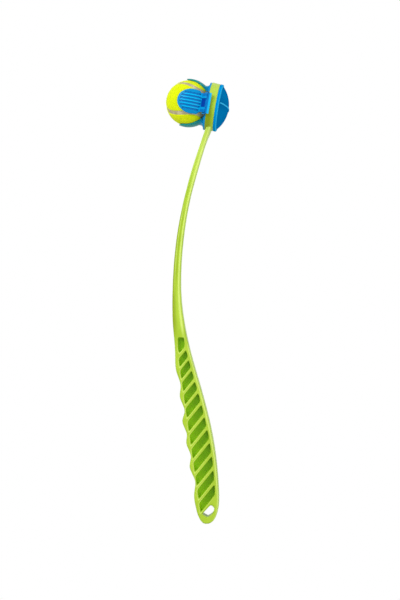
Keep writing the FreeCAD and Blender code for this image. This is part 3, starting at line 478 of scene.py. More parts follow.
# Painted shade in the grooves, on the root and in its window; painted highlights on the ridges and
# the bar; the rails in the lit blue.
jaw_blue = plastic("jaw_plastic", (0, 140, 204), (0, 154, 216), gloss=0.1, tones=(
    (groove_shade, (0, 118, 190)), (ridge_highlights, (0, 180, 238)),
    (shaded_plate, (0, 114, 190)), (lit_rails, (0, 148, 214)),
    (bar_highlight, (20, 180, 236)), (window_shadow, (0, 60, 158))))
print("nodes, jaws:", len(jaw_blue.node_tree.nodes))

# %% [markdown]
# ## Tones of the handle
#
# The green is painted deeper in the grip's cut-outs as painted shade, and lighter at the end of
# each cut-out that faces the lamps as painted light. Along the edges, the stick and the ring it
# gets painted highlights and painted shade. No simple distance describes these places, so the
# mesh carries named values for the material to read.

# %% Handle's tones


def well_shade(recipe):
    """Painted shade down in the cut-outs."""
    return recipe.value_of("well").between(0.3, 1.0)


def in_lit_wells(recipe):
    """Painted light on the end of each cut-out that faces the light."""
    return recipe.value_of("lit")


def painted_highlights(recipe):
    """Painted highlights: where the tone is above zero."""
    return recipe.value_of("tone").between(0.0, 1.0)


def painted_shade(recipe):
    """Painted shade: where the tone is below zero."""
    return (0 - recipe.value_of("tone")).between(0.0, 1.0)


# The handle's tones are painted highlights, painted shade, and painted shade and light in its
# cut-outs.
green = plastic("handle_plastic", (169, 202, 48), (182, 213, 60), soft_edge=None, tones=(
    (painted_highlights, (216, 238, 118)), (painted_shade, (142, 162, 0)),
    (well_shade, (140, 196, 0)), (in_lit_wells, (172, 222, 8))))
print("nodes, handle:", len(green.node_tree.nodes))

# %% [markdown]
# ## Steel
#
# Screws, pins, clips and springs are drawn or turned steel. They could be plain mirrors, but
# drawn wire has a fine grain and dull spots, so stretched noise varies roughness and bump.

# %% Steel


def steel(name, tone, rough, grain):
    """Drawn or turned steel: fine grain along the piece and a few dull spots."""
    recipe = Recipe(name)
    lines = recipe.noise(grain, 3, stretch=(1, 6, 1))
    spots = recipe.noise(700, 4).between(0.55, 0.8)
    bright = (tone, tone, tone * 1.02, 1)
    dull = (tone * 0.6, tone * 0.57, tone * 0.52, 1)
    return recipe.finish(
        Base_Color=recipe.mix(spots, bright, dull),
        Metallic=1.0,
        Roughness=rough + spots * 0.25 + (lines - 0.5) * 0.15,
        Normal=recipe.bump(lines, 0.00001, 0.5))


screw_steel = steel("screw_steel", 0.35, 0.4, 900)
# The pins and clips are painted much darker than the screws and springs: painted shade over the pins
# beside the jaws' bars.
pin_steel = steel("pin_steel", 0.10, 0.45, 900)
clip_steel = steel("clip_steel", 0.10, 0.45, 1200)
spring_steel = steel("spring_steel", 0.35, 0.38, 1500)
print("nodes, steel:", len(screw_steel.node_tree.nodes))

# %% [markdown]
# ## Rubber
#
# The ball's core is black rubber and its seam is a pale rubber band. Rubber scatters light
# almost evenly, and a faint bloom makes patches paler, so one noise moves colour and roughness.

# %% Rubber


def rubber(name, dark, light):
    """Rubber: nearly dull, with a fine grain and paler bloom in patches."""
    recipe = Recipe(name)
    bloom = recipe.noise(110, 5, 0.6)
    grain = recipe.noise(2600, 2)
    return recipe.finish(
        Base_Color=recipe.mix(bloom.between(0.35, 0.7), dark, light),
        Roughness=0.7 + (bloom - 0.5) * 0.15,
        Normal=recipe.bump(grain, 0.00006, 0.7))


core_rubber = rubber("core_rubber", (0.012, 0.012, 0.012, 1), (0.03, 0.029, 0.028, 1))
seam_rubber = rubber("seam_rubber", colour(172, 160, 120), colour(206, 198, 158))
print("nodes, rubber:", len(core_rubber.node_tree.nodes))

# %% [markdown]
# ## Felt
#
# The ball's cover is felt with a nap of matted wool. Hair curves could grow it, but would be
# heavier than the whole launcher, so two crossed noises look like the matted fibres, and only
# the loose ones become a mesh.

# %% Felt


def felt_material(name):
    """Woolly felt: matted fibres as crossed fine noise, with deeper colour between the tufts."""
    recipe = Recipe(name)
    tufts = recipe.noise(420, 5, 0.65)
    one_way = recipe.noise(1500, 4, 0.7, stretch=(1, 0.35, 1))
    other_way = recipe.noise(1700, 4, 0.7, stretch=(0.3, 1, 1))
    fibres = one_way + other_way
    body = recipe.mix(tufts.between(0.2, 0.8), colour(200, 216, 0), colour(236, 250, 0))
    return recipe.finish(
        Base_Color=recipe.mix(fibres.between(0.8, 1.3) * 0.25, body, colour(240, 250, 20)),
        Roughness=0.92 - tufts * 0.08,
        Specular_IOR_Level=0.1,
        Sheen_Weight=0.05,
        Sheen_Roughness=0.5,
        Normal=recipe.bump(tufts + fibres * 0.35, 0.0002, 0.7))


felt = felt_material("felt")
print("nodes, felt:", len(felt.node_tree.nodes))

# %% [markdown]
# ## Finishes on the solid pieces
#
# Every solid piece comes with slots for its materials, or with none. A line beside each piece
# could fill them, but one table is easier to check.

# %% Finishes
finishes = {
    "handle": green, "front_housing": housing_blue, "back_cover": shaded_dome_blue,
    "cover_screws": screw_steel, "jaw_near": jaw_blue, "jaw_far": jaw_blue,
    "jaw_pins": pin_steel, "pin_clips": clip_steel, "jaw_spring_near": spring_steel,
    "jaw_spring_far": spring_steel, "seat_pad": pad_blue, "stem_clip": clip_steel,
    "seat_spring": spring_steel, "ball_core_a": core_rubber, "ball_core_b": core_rubber,
    "ball_felt_a": felt, "ball_felt_b": felt, "ball_seam": seam_rubber}
for name, finish in finishes.items():
    slots = nodes[name].data.materials
    if len(slots) == 0:
        slots.append(finish)
    for index in range(len(slots)):
        slots[index] = finish
print("materials:", len(set(finishes.values())))

# %% [markdown]
# ## Outline of the handle
#
# The handle is one moulding: a ring, a throat, a slim stick and a thick grip with blind cut-outs
# between slanted ribs. Its outline could be typed again, but the solid model has it already, so
# the solid is cut at many heights to read it off.

# %% Outline
THROAT = -46.0
GRIP_END = -604.6
END_ROUND = 4.6


def node_points(node):
    """All the points of a solid, in millimetres."""
    vertices = nodes[node].data.vertices
    points = np.empty(len(vertices) * 3)
    vertices.foreach_get("co", points)
    return points.reshape(-1, 3) / MM


def slices(node, heights):
    """Lowest and highest x, and highest z, where a solid crosses each height, in millimetres."""
    mesh = nodes[node].data
    points = node_points(node)
    ends = np.empty(len(mesh.edges) * 2, np.int64)
    mesh.edges.foreach_get("vertices", ends)
    first, last = points[ends.reshape(-1, 2).T]
    rows = []
    for height in heights:
        crosses = (first[:, 1] - height) * (last[:, 1] - height) < 0
        a, b = first[crosses], last[crosses]
        share = ((height - a[:, 1]) / (b[:, 1] - a[:, 1]))[:, None]
        where = a + (b - a) * share
        rows.append((where[:, 0].min(), where[:, 0].max(), where[:, 2].max()))
    return np.array(rows).T


# The heights crowd together at the rounded end, where the outline turns fastest.
crowded = GRIP_END + END_ROUND * np.linspace(1, 0.012, 24)[1:] ** 2
outline_y = np.concatenate([np.linspace(THROAT, GRIP_END + END_ROUND, 700), crowded])
outline_left, outline_right, outline_high = slices("handle", outline_y)


def at_height(values, height):
    """A value of the outline at any height between the throat and the end of the grip."""
    return np.interp(-height, -outline_y, values)


print("throat width:", round(float(outline_right[0] - outline_left[0]), 1))

# %% [markdown]
# ## Cut-outs and hanging hole
#
# Thirteen blind cut-outs make the grip light and leave slanted ribs for the hand. Subtracted
# blocks would leave knife-sharp edges, so a signed distance to each outline, rounded by a soft
# maximum, shapes the walls. The hole for a wall hook uses it too.

# %% Cut-outs and hole
RIB_SLOPE = math.tan(math.radians(51))
CUT_SOFTNESS, HOLE_SOFTNESS = 0.85, 0.9
FIRST_CUT = [(-5.9, -337.6), (-4.6, -350.6), (-12.4, -360.0), (-14.4, -355.6), (-14.4, -337.6)]
CUTS_START, CUTS_ALIKE = -355.5, 12
FIRST_PITCH, PITCH_GROWTH, CUT_SHARE = 14.5, 0.6, 0.70
RIGHT_WALL, LEFT_WALL = 4.9, 5.4
FINGER_TOP, FINGER_LOW = (-19.0, -366.7), (11.8, -581.5)
FINGER_LEAN = (FINGER_LOW[0] - FINGER_TOP[0]) / (FINGER_LOW[1] - FINGER_TOP[1])
HANG_HOLE = [(33.2, -576.6), (38.4, -580.6), (36.0, -589.4), (27.6, -595.4), (20.0, -590.6)]


def soft_polygon(x, y, corners, softness):
    """Signed distance to a convex outline with rounded corners, below zero on the inside: the
    distances d to the sides joined as s log(sum of exp(d / s)), where s is the softness."""
    corners = np.asarray(corners, float)
    side = np.roll(corners, -1, axis=0) - corners
    out = unit(np.stack([-side[:, 1], side[:, 0]], axis=1))
    off = (x[..., None] - corners[:, 0]) * out[:, 0] + (y[..., None] - corners[:, 1]) * out[:, 1]
    top = off.max(axis=-1)
    return top + np.log(np.exp((off - top[..., None]) / softness).sum(axis=-1)) * softness


def cut_outs():
    """Corners of the blind cut-outs, from the stick to the end: the first, then those alike,
    which lie between the outline on the right and the straight finger line on the left."""
    found = [FIRST_CUT]
    height, pitch = CUTS_START, FIRST_PITCH
    for _ in range(CUTS_ALIKE):
        sides = []
        for level in (height, height - pitch * CUT_SHARE):
            right = float(at_height(outline_right, level)) - RIGHT_WALL
            left = FINGER_TOP[0] + (level - FINGER_TOP[1]) * FINGER_LEAN + LEFT_WALL
            run = (right - left) / (1 - FINGER_LEAN * RIB_SLOPE)
            sides.append(((right, level), (right - run, level - run * RIB_SLOPE)))
        (top_right, top_left), (low_right, low_left) = sides
        found.append([top_right, low_right, low_left, top_left])
        height -= pitch
        pitch += PITCH_GROWTH
    return found


def hole_distance(x, y):
    """Signed distance to the outline of the hanging hole."""
    return soft_polygon(x, y, HANG_HOLE, HOLE_SOFTNESS)


print("cut-outs:", len(cut_outs()))

# %% [markdown]
# ## Depth of the flat side
#
# The flat side is rounded at its outline and round the hole, and sinks to a thin web in the
# cut-outs. Bevels could round it, but the distances are known already, and also tell where a
# cut-out gets painted shade, where it gets painted light, and where its edge gets a painted
# highlight.

# %% Depth
EDGE_ROUND, HOLE_ROUND = 2.6, 1.5
WEB_HALF = 2.0


def round_drop(distance, radius):
    """How far an edge rounded by a radius drops at a distance from the edge: with the share
    s = 1 - distance / radius, the drop is radius (1 - sqrt(1 - s squared))."""
    share = np.clip(1 - distance / radius, 0, 1)
    return radius * (1 - np.sqrt(1 - share ** 2))


def side_depth(x, y, half):
    """How far the flat side is cut down at each point: rounded edge, cut-outs and hole lip."""
    line = np.stack([np.concatenate([outline_left, outline_right]), np.tile(outline_y, 2)], axis=1)
    flat = np.stack([x.ravel(), y.ravel()], axis=1)
    near = [np.sqrt(((part[:, None] - line[None]) ** 2).sum(axis=-1).min(axis=1))
            for part in np.array_split(flat, 200)]
    depth = round_drop(np.concatenate(near).reshape(x.shape), EDGE_ROUND)
    well, lit, edge_light = np.zeros_like(x), np.zeros_like(x), np.zeros_like(x)
    for corners in cut_outs():
        off = soft_polygon(x, y, corners, CUT_SOFTNESS)
        inside = smooth_step(-off, -0.45, 1.0)
        low_end = np.array(corners[2:4]).mean(axis=0)
        high_end = np.array(corners[0:2]).mean(axis=0)
        way = (low_end - high_end) / ((low_end - high_end) ** 2).sum()
        share = (x - high_end[0]) * way[0] + (y - high_end[1]) * way[1]
        # Painted light on the end of each cut-out towards the lamps.
        lit = np.maximum(lit, inside * smooth_step(share, 0.35, 1.0))
        well = np.maximum(well, inside)
        # A painted highlight along the rim of each cut-out.
        shine = hump(off, 0.9, 0.5) * (0.25 + 0.5 * smooth_step(share, 0.0, 1.0))
        edge_light = np.maximum(edge_light, shine)
    depth = np.maximum(depth, round_drop(hole_distance(x, y), HOLE_ROUND))
    return depth + well * (half - WEB_HALF), well, lit, edge_light


print("drop at a rounded edge:", round_drop(0.0, EDGE_ROUND))

# %% [markdown]
# ## Rows across the handle
#
# The handle is a grid whose rows run across it. Level rows would be simpler, but would leave
# steps in the walls of the cut-outs, so in the grip the rows lean as the ribs do. At the throat
# the thickness flares up to meet the ring.

# %% Rows and thickness
LEAN_FROM, LEAN_UNTIL = (322, 358), (578, 603)
FLARE_START, FLARE_RUN = 64, 47
SLIM_HALF, FLARE_RISE = 6.5, 19


def leaning(level):
    """Slope of a row: none on the stick and at the very end, the ribs' own slope in the grip."""
    return RIB_SLOPE * smooth_step(-level, *LEAN_FROM) * (1 - smooth_step(-level, *LEAN_UNTIL))


def row_ends(levels, outline):
    """Where each row's line meets one edge: y = level + slope * (x - middle), x on the edge."""
    middle = (at_height(outline_left, levels) + at_height(outline_right, levels)) / 2
    height = levels.copy()
    for _ in range(60):
        height += 0.5 * (levels + leaning(levels) * (at_height(outline, height) - middle) - height)
    return np.stack([at_height(outline, height), height], axis=1)


def flare_half(down):
    """Half thickness at a distance down from the ring's middle: with the share s of the run
    that is left, 6.5 + 19 times s to the power 2.1."""
    left = np.clip(FLARE_START - down, 0, None) / FLARE_RUN
    return SLIM_HALF + FLARE_RISE * left ** 2.1


def half_thickness(x, y):
    """Half of the thickness: a curved flare at the throat, then what the solid has."""
    down = (np.stack([x, y], axis=-1) - RING_CENTRE) @ STICK
    return np.where(down < FLARE_START, flare_half(down), at_height(outline_high, y))


print("half thickness 30 mm down:", round(float(flare_half(30)), 1))

# %% [markdown]
# ## Light and dark along the stick
#
# A glossy curved side shows a bright line beside a darker one. Lamps alone could make them, if
# their shapes were exact, so soft humps of lighter and darker green add a painted highlight and
# painted shade.

# %% Tone of the stick


def stick_light_and_shade(share, y):
    """Painted highlights and painted shade on the flat side at a share of its width: a highlight
    towards the edge on the dome's side, shade at the other, with a second highlight and a darker
    channel at the flute half way down, and a highlight along the grip's rim."""
    upper = 1 - smooth_step(-y, 60, 190)
    flute = smooth_step(-y, 130, 165) * (1 - smooth_step(-y, 235, 285))
    bright = 0.95 * hump(share, 0.78, 0.13)
    dark = -0.75 * (1 - smooth_step(share, 0.0, 0.6)) * (1 - upper)
    lines = flute * (1.1 * hump(share, 0.26, 0.08) - 0.5 * hump(share, 0.5, 0.09))
    rim = 0.9 * hump(share, 0.955, 0.03) * smooth_step(-y, 330, 360)
    stick = (bright + dark + lines + 0.4 * upper) * (1 - smooth_step(-y, 315, 350))
    return stick + rim


print("tone on the bright line:", round(float(stick_light_and_shade(0.78, -200.0)), 2))

# %% [markdown]
# ## Throat
#
# The throat joins the flat stick to the round ring in one smooth flare. Its rows end on the
# ring's wall, a circle round the head's axis. A boolean would leave a crease there, so the point
# where each row meets the circle is found by halving.

# %% Throat
RING_WALL = 31.5
SIDE_STEPS = 6
PINCH, PINCH_END = 0.06, 41
FRONT, FRONT_RISE, FRONT_START = 2.59, 0.173, 21.4
BACK, BACK_RISE, BACK_START = -6.0, 0.247, 23


def throat_rows(first, share):
    """Rows from the ring's wall to the first row of the stick, which climb the flare."""
    turn = np.concatenate([share, np.ones(SIDE_STEPS), share[::-1], np.zeros(SIDE_STEPS)])
    start_half = half_thickness(first[:, 0], first[:, 1])
    side = np.zeros(len(first), bool)
    side[len(share):len(share) + SIDE_STEPS] = side[-SIDE_STEPS:] = True
    lift = np.where(side, first[:, 2] / start_half, np.sign(first[:, 2]))
    drop = first[:, 2] - lift * start_half

    def flare(down):
        return lift * flare_half(down) + drop

    near, far = np.full(len(first), 15.0), np.full(len(first), RING_WALL)
    far = halving(near, far, lambda down: down ** 2 + flare(down) ** 2 > RING_WALL ** 2)
    narrow = (PINCH_END - far) * PINCH
    front = FRONT + FRONT_RISE * (far - FRONT_START) - narrow
    back = BACK + BACK_RISE * (far - BACK_START) + narrow
    across = THROW * (front + (back - front) * turn)[:, None]
    on_ring = RING_CENTRE + STICK * far[:, None] + across
    share_down = np.linspace(1, 0, 28)[:-1, None, None]
    flat = first[None, :, :2] + (on_ring - first[:, :2])[None] * share_down
    rows = np.dstack([flat, flare((flat - RING_CENTRE) @ STICK)])
    # Rows on the ring's wall close the end.
    end = rows[0]
    caps = []
    for keep in (0.02, 0.35, 0.7, 0.9):
        up = end[:, 2] * keep
        way = THROW * (-0.5 + ((end[:, :2] - RING_CENTRE) @ THROW + 0.5) * keep)[:, None]
        flat_cap = RING_CENTRE + STICK * np.sqrt(RING_WALL ** 2 - up ** 2)[:, None] + way
        caps.append(np.column_stack([flat_cap, up]))
    return np.concatenate([np.array(caps), rows])


print("ring wall radius:", RING_WALL)

# %% [markdown]
# ## Stick and grip
#
# Top, right edge, bottom and left edge follow each other in every row, so the rows form one
# closed tube. A boolean could cut the hanging hole, but would leave ragged faces. Instead,
# points near the hole move onto its outline, and the faces inside it are left out.

# %% Stick and grip
GRIP_START, END_START, END_RUN = -322, -586, 18.4
GRIP_TIP = (25.9, -604.7, 0)
FLUTE_DEPTH, FLUTE_WIDTH = 0.9, 0.42


def stick_grid():
    """The stick and grip as one closed tube of rows, from the ring's wall to the end."""
    end_levels = END_START - END_RUN * np.sin(np.linspace(0, math.pi / 2, 44)[1:])
    levels = np.concatenate([np.linspace(THROAT, GRIP_START, 70),
                             np.linspace(GRIP_START, END_START, 420)[1:], end_levels])
    left, right = row_ends(levels, outline_left), row_ends(levels, outline_right)
    share = np.linspace(0, 1, 58)
    share = share - 0.1 * np.sin(2 * math.pi * share)
    flat = left[:, None] + (right - left)[:, None] * share[None, :, None]
    for _ in range(3):
        x, y = flat[..., 0], flat[..., 1]
        gap = hole_distance(x, y)
        slope = np.stack([hole_distance(x + 0.05, y) - hole_distance(x - 0.05, y),
                          hole_distance(x, y + 0.05) - hole_distance(x, y - 0.05)], axis=-1) * 10
        flat = flat - np.where((gap > -0.5) & (gap < 0.25), gap, 0)[..., None] * slope
    x, y = flat[..., 0], flat[..., 1]
    half = half_thickness(x, y)
    depth, well, lit, edge_light = side_depth(x, y, half)
    across = 2 * share - 1
    fluted = smooth_step(-y, 55, 95) * (1 - smooth_step(-y, 318, 336))
    depth = depth + FLUTE_DEPTH * np.exp(-(across / FLUTE_WIDTH) ** 6) * fluted
    # The tone is painted light and shade: highlights round the cut-outs and the stick's highlights
    # and shade.
    tone = edge_light + stick_light_and_shade(share, y)
    steps = np.linspace(1, -1, SIDE_STEPS + 2)[1:-1]
    edge_half = half[:, [0, -1]] - depth[:, [0, -1]]
    edges = [np.repeat(flat[:, [column]], SIDE_STEPS, axis=1) for column in (-1, 0)]
    top = np.dstack([flat, half - depth])
    bottom = np.dstack([flat, depth - half])[:, ::-1]
    right_side = np.dstack([edges[0], edge_half[:, 1:] * steps])
    left_side = np.dstack([edges[1], -edge_half[:, :1] * steps])
    body = np.concatenate([top, right_side, bottom, left_side], axis=1)
    rows = np.concatenate([throat_rows(body[0], share), body, body[-1:] * (0, 0, 1) + GRIP_TIP])
    throat = len(rows) - len(body) - 1
    plain = np.zeros((len(levels), SIDE_STEPS))
    values = np.stack([np.concatenate([part, plain, part[:, ::-1], plain], axis=1)
                       for part in (well, lit, tone)], axis=-1)
    values = np.concatenate([np.repeat(values[:1], throat, axis=0), values, values[-1:]])
    faces = grid_faces(*rows.shape[:2], wrap_columns=True)
    points = rows.reshape(-1, 3)
    inside = (hole_distance(points[:, 0], points[:, 1]) < 0.03)[faces].all(axis=1)
    return points, faces[~inside], values.reshape(-1, 3)


stick = stick_grid()
print("faces of the stick and grip:", len(stick[1]))

# %% [markdown]
# ## Wall of the hanging hole
#
# The hole goes right through the grip. Its two rims could be bridged by hand, but a tube whose
# loop meets the outline along rays from the middle needs no picking.

# %% Hole wall
HOLE_MIDDLE = (30.5, -586.3)
HOLE_HALF, HOLE_REACH = 10.5, 16.0


def hole_wall(around=96, levels=8):
    """Wall of the hanging hole: its outline, repeated at a few heights."""
    angle = full_turn(around)
    ways = np.stack([np.cos(angle), np.sin(angle)], axis=1)

    def beyond(reach):
        where = HOLE_MIDDLE + ways * reach[:, None]
        return hole_distance(where[:, 0], where[:, 1]) > 0

    reach = halving(np.zeros(around), np.full(around, HOLE_REACH), beyond)
    flat = HOLE_MIDDLE + ways * reach[:, None]
    heights = np.linspace(-HOLE_HALF, HOLE_HALF, levels)[:, None]
    points = np.dstack([np.repeat(flat[None], levels, axis=0), np.repeat(heights, around, axis=1)])
    faces = grid_faces(levels, around, wrap_columns=True, flip=True)
    return points.reshape(-1, 3), faces, np.zeros((around * levels, 3))


hole = hole_wall()
print("hole width:", round(float(np.ptp(hole[0][:, 0])), 1))

# %% [markdown]
# ## Ring
#
# The ring grips the housing and is slightly wider at the front. The Screw modifier could turn
# it, but as a grid it joins the stick in one mesh and carries the same values.

# %% Ring
RING_PROFILE = [(30.0, -6), (33.7, -6), (34.8, 6), (30.0, 6)]
CORNER_CUT = 0.9


def rounded_loop(corners, radius, steps=5):
    """Closed outline through the corners, each one cut by a small smooth curve: for t from 0 to
    1, the point is (1 - t)^2 enter + 2 t (1 - t) corner + t^2 leave."""
    corners = np.asarray(corners, float)
    back = unit(np.roll(corners, 1, axis=0) - corners)
    onward = unit(np.roll(corners, -1, axis=0) - corners)
    t = np.linspace(0, 1, steps)[None, :, None]
    enter, leave = (corners + back * radius)[:, None], (corners + onward * radius)[:, None]
    return ((1 - t) ** 2 * enter + 2 * t * (1 - t) * corners[:, None] + t ** 2 * leave).reshape(-1, 2)


def ring_grid(count=200):
    """The ring round the head: its profile of (radius, ahead) turned about the throw, with
    radius cos(angle) along the stick and radius sin(angle) up. Painted shade makes it darker near
    the stick and on its front beside the jaws, with a faint painted highlight elsewhere."""
    profile = rounded_loop(RING_PROFILE, CORNER_CUT)
    radius, angle = profile[:, 0], full_turn(count)[:, None]
    stickwise, up, way = np.broadcast_arrays(
        radius * np.cos(angle), radius * np.sin(angle), profile[:, 1])
    flat = RING_CENTRE + stickwise[..., None] * STICK + way[..., None] * THROW
    points = np.concatenate([flat, up[..., None]], axis=-1).reshape(-1, 3)
    from_middle = points[:, :2] - RING_CENTRE
    stickwise, way = from_middle @ STICK, from_middle @ THROW
    front = smooth_step(stickwise, -16, -4) * smooth_step(way, -4, 4)
    values = np.zeros((len(points), 3))
    # Painted shade near the stick and on the front beside the jaws; a faint painted highlight
    # elsewhere.
    values[:, 2] = 0.3 - 1.1 * (front + 0.5 * smooth_step(stickwise, 2, 22))
    return points, grid_faces(count, len(profile), True, True), values


ring = ring_grid()
print("faces of the ring:", len(ring[1]))

# %% [markdown]
# ## Handle as one piece
#
# Stick, hole wall and ring are one moulding, so they become one mesh rather than three pieces
# that touch. It replaces the solid handle and rides on its body.

# %% One piece


def merged(parts):
    """Several (points, faces, values) as one, without the points that no face uses."""
    counts = np.cumsum([0] + [len(part[0]) for part in parts])
    points = np.concatenate([part[0] for part in parts])
    values = np.concatenate([part[2] for part in parts])
    faces = np.concatenate([part[1] + start for part, start in zip(parts, counts)])
    used, faces = np.unique(faces, return_inverse=True)
    return points[used], faces.reshape(-1, 4), values[used]


points, faces, values = merged([stick, hole, ring])
# The tone value carries the painted highlights and painted shade.
handle = mesh_object("stick_and_grip", points, faces, green,
                     {"well": values[:, 0], "lit": values[:, 1], "tone": values[:, 2]})
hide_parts("handle")
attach(handle, "frame")
print("handle faces:", len(faces))

# %% [markdown]
# ## Seam of the ball
#
# The ball is a hollow rubber core under two panels of felt, with a rubber band between them. The
# band's middle could be a hand-drawn spline, but it is a known closed curve:
# x = a cos t + b cos 3t, y = a sin t - b sin 3t, z = 2 sqrt(ab) sin 2t,
# which stays on one sphere when a + b = 1.

# %% Seam
BALL_RADIUS = 32.5
SEAM_HALF = 3.2
SEAM_A, SEAM_B = 0.75, 0.25


def turn(axis, degrees):
    """Matrix that turns about X, Y or Z, which are the axes 0, 1 and 2."""
    angle = math.radians(degrees)
    one, two = (axis + 1) % 3, (axis + 2) % 3
    matrix = np.eye(3)
    matrix[one, one] = matrix[two, two] = math.cos(angle)
    matrix[two, one] = math.sin(angle)
    matrix[one, two] = -math.sin(angle)
    return matrix


SEAM_TURN = turn(2, -137.2) @ turn(1, -40.7) @ turn(0, -40.5)


def seam_curve(share):
    """Unit vectors along the seam's middle line, for shares of a turn from 0 to 1."""
    t = 2 * math.pi * share
    curve = np.stack([SEAM_A * np.cos(t) + SEAM_B * np.cos(3 * t),
                      SEAM_A * np.sin(t) - SEAM_B * np.sin(3 * t),
                      2 * math.sqrt(SEAM_A * SEAM_B) * np.sin(2 * t)], axis=-1)
    return curve @ SEAM_TURN.T


def seam_distance(ways):
    """Distance in millimetres over the ball from each unit vector to the seam's middle line."""
    line = seam_curve(np.arange(720) / 720)
    nearest = np.concatenate([(part @ line.T).max(axis=1) for part in np.array_split(ways, 32)])
    return np.arccos(np.clip(nearest, -1, 1)) * BALL_RADIUS


print("seam starts at:", seam_curve(np.zeros(1)).round(3))

# %% [markdown]
# ## Felt panels
#
# The felt could be a plain sphere with a painted band, but real felt rises beside the seam to a
# rounded edge. Each point's distance from the seam sets its height, with a little random height.

# %% Felt panels
FELT_SUNK, FELT_RISE = 1.5, 1.35
FELT_UNEVEN = 0.035


def make_felt(rows=181, columns=320):
    """Both panels: a sphere whose height rises from under the band to a rounded edge."""
    down = np.linspace(0, math.pi, rows)[:, None]
    around = full_turn(columns)[None, :]
    ways = np.stack(np.broadcast_arrays(np.cos(down), np.sin(down) * np.cos(around),
                                        np.sin(down) * np.sin(around)), axis=-1).reshape(-1, 3)
    edge = smooth_step(seam_distance(ways), SEAM_HALF - 0.55, SEAM_HALF + 0.75)
    radius = BALL_RADIUS - FELT_SUNK + FELT_RISE * edge
    rng = np.random.default_rng(7)
    radius = radius + rng.normal(0, FELT_UNEVEN, len(radius)) * edge
    faces = grid_faces(rows, columns, wrap_columns=True)
    return mesh_object("ball_felt", ways * radius[:, None], faces, felt)


ball_felt = make_felt()
print("faces of the felt:", len(ball_felt.data.polygons))

# %% [markdown]
# ## Loose fibres
#
# Worn felt has a halo of loose fibres, which softens the ball's outline. A particle system could
# make them, but thin blades are exact and travel with the ball.

# %% Loose fibres
FIBRE_ROOT, FIBRE_HALF, FIBRE_RISE = 0.25, 0.045, 0.32
FIBRE_LENGTHS = (0.5, 1.3)


def make_fuzz(count=15000):
    """Loose fibres: thin curved blades that leave the felt and lean over in random ways."""
    rng = np.random.default_rng(11)
    ways = unit(rng.normal(size=(count, 3)))
    ways = ways[seam_distance(ways) > SEAM_HALF + 0.4]
    lean = rng.normal(size=ways.shape)
    lean = unit(lean - (lean * ways).sum(axis=1)[:, None] * ways)
    side = np.cross(ways, lean)
    length = rng.uniform(*FIBRE_LENGTHS, len(ways))[:, None]
    foot = ways * (BALL_RADIUS - FIBRE_ROOT)
    steps = []
    for share in (0.0, 0.5, 1.0):
        middle = foot + lean * length * share + ways * length * FIBRE_RISE * math.sin(share * 2.4)
        half = side * FIBRE_HALF * (1.02 - share)
        steps.append(np.stack([middle - half, middle + half], axis=1))
    points = np.stack(steps, axis=1)
    base = np.arange(len(ways))[:, None, None] * 6 + np.array([[0, 1, 3, 2], [2, 3, 5, 4]])[None]
    return mesh_object("felt_fuzz", points, base.reshape(-1, 4), felt)


fuzz = make_fuzz()
print("faces of the fibres:", len(fuzz.data.polygons))

# %% [markdown]
# ## Seam band
#
# The rubber band lies a little below the felt and is hollow along its middle. A bevelled curve
# would be a round cord, so a section is carried along the seam instead. Then felt, fibres and
# band stand in for the solid ones and ride on the ball.

# %% Seam band
BAND_RADIUS, BAND_HALF, BAND_HOLLOW = 31.35, 0.55, 0.25


def make_seam(count=360, around=16):
    """The band: a flat ring section with a hollowed top, carried along the seam's curve."""
    share = np.arange(count) / count
    ways = seam_curve(share)
    along = unit(np.roll(ways, -1, axis=0) - np.roll(ways, 1, axis=0))
    across = np.cross(along, ways)
    angle = full_turn(around)
    wide = SEAM_HALF * np.cos(angle)
    hollow = BAND_HOLLOW * np.where(np.sin(angle) > 0, np.cos(angle) ** 2 - 1, 0)
    top = BAND_RADIUS + BAND_HALF * np.sin(angle) + hollow
    points = ways[:, None, :] * top[None, :, None] + across[:, None, :] * wide[None, :, None]
    return mesh_object("seam_band", points, grid_faces(count, around, True, True), seam_rubber)


seam_band = make_seam()
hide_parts("ball_felt_a", "ball_felt_b")
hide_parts("ball_seam")
for piece, slot in ((ball_felt, "felt"), (fuzz, "felt"), (seam_band, "seam_rubber")):
    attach(piece, "ball")
print("faces of the band:", len(seam_band.data.polygons))

# %% [markdown]
# ## Springs
#
# Each spring is held by the housing at one end and by a moving piece at the other, so it bends.
# It could be drawn as a new coil, but the solid's coil is right already: its mesh is copied and
# its loose triangles are joined.

# %% Springs
SAME_POINT = 1e-6


def live_spring(node):
    """A copy of a solid spring, with its loose triangles joined, that stands in for the solid one."""
    mesh = nodes[node].data.copy()
    soup = bmesh.new()
    soup.from_mesh(mesh)
    bmesh.ops.remove_doubles(soup, verts=soup.verts, dist=SAME_POINT)
    soup.to_mesh(mesh)
    soup.free()
    mesh.shade_smooth()
    spring = placed(node + "_wire", mesh)
    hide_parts(node)
    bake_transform(spring)


live_spring("jaw_spring_near")
live_spring("jaw_spring_far")
ahead_of_ring = (node_points("seat_spring")[:, :2] - RING_CENTRE) @ THROW
foot, top = [(*(RING_CENTRE + THROW * reach) * MM, 0)
             for reach in (ahead_of_ring.min(), ahead_of_ring.max())]
live_spring("seat_spring")
print("seat spring from and to:", np.round(foot, 4), np.round(top, 4))

# %% [markdown]
# ## Floor
#
# The launcher lies on a wide pale floor. A white world alone would be simpler, but would show no
# contact. The camera and mirrors see plain white, and other rays find pale grey paint.

# %% Floor
FLOOR_LEVEL, FLOOR_REACH = -39.6, 9000


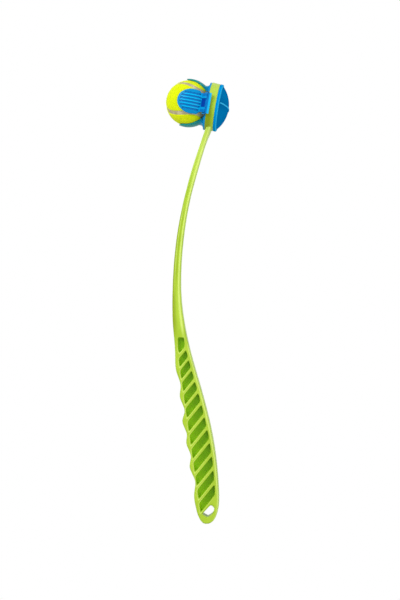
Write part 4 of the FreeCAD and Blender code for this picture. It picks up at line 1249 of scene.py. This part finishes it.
def make_floor():
    """A wide pale floor: plain white to the camera and in mirrors, grey to scattered light."""
    recipe = Recipe("floor_paint")
    rays = [recipe.node("ShaderNodeLightPath", {}, "Is %s Ray" % kind)
            for kind in ("Camera", "Glossy", "Transmission")]
    seen = rays[0].math("MAXIMUM", rays[1]).math("MAXIMUM", rays[2])
    shade = recipe.mix(recipe.noise(9, 3), (0.80, 0.80, 0.80, 1), (0.86, 0.86, 0.86, 1))
    paint = recipe.node("ShaderNodeBsdfDiffuse", {}, 0, shade)
    white = recipe.node("ShaderNodeEmission", {}, 0, (1, 1, 1, 1), 1.0)
    material = recipe.end(recipe.node("ShaderNodeMixShader", {}, 0, seen, paint, white))
    corners = [(x * FLOOR_REACH, y * FLOOR_REACH, FLOOR_LEVEL)
               for x, y in ((-1, -1), (1, -1), (1, 1), (-1, 1))]
    mesh_object("floor", corners, [[0, 1, 2, 3]], material)


make_floor()
print("floor level in mm:", FLOOR_LEVEL)

# %% [markdown]
# ## Lights
#
# Two wide soft lamps give even highlights along the plastic, and a white world fills the
# shadows. Small lamps would throw hard shadows into the cut-outs.

# %% Lights
WORLD_LIGHT = 0.56


def area_light(name, place, target, size, power):
    """A square soft light at a place, turned to a target; metres and watts."""
    lamp = bpy.data.lights.new(name, "AREA")
    lamp.energy = power
    lamp.size = size
    thing = placed(name, lamp)
    place = np.array(place, float)
    way = np.array(target, float) - place
    thing.location = place
    thing.rotation_euler = Vector(way).to_track_quat("-Z", "Y").to_euler()


area_light("key", (-0.9, 0.9, 1.5), (0.0, -0.2, 0.0), 1.2, 24)
area_light("fill", (1.2, -0.6, 1.6), (0.0, -0.3, 0.0), 1.6, 11)
world = bpy.data.worlds.new("studio")
scene.world = world
world.use_nodes = True
world.node_tree.nodes["Background"].inputs[0].default_value = (1, 1, 1, 1)
world.node_tree.nodes["Background"].inputs[1].default_value = WORLD_LIGHT
print("lamps:", len(bpy.data.lights))

# %% [markdown]
# ## Camera
#
# The camera looks down on the flat side from about two metres, a little from the domed side.
# From nearer, the ball would look too big beside the grip.

# %% Camera
MIDDLE = (0.0166, -0.2837)
YAW = math.radians(4.0)
DISTANCE = 2.1
camera_data = bpy.data.cameras.new("camera")
camera_data.sensor_width = 36
camera_data.lens = 87.5
camera = placed("camera", camera_data)
camera.location = (MIDDLE[0] + DISTANCE * math.sin(YAW), MIDDLE[1], DISTANCE * math.cos(YAW))
camera.rotation_euler = (0, YAW, 0)
scene.camera = camera
scene.view_settings.view_transform = "Standard"
print("camera at:", [round(value, 3) for value in camera.location])

# %% [markdown]
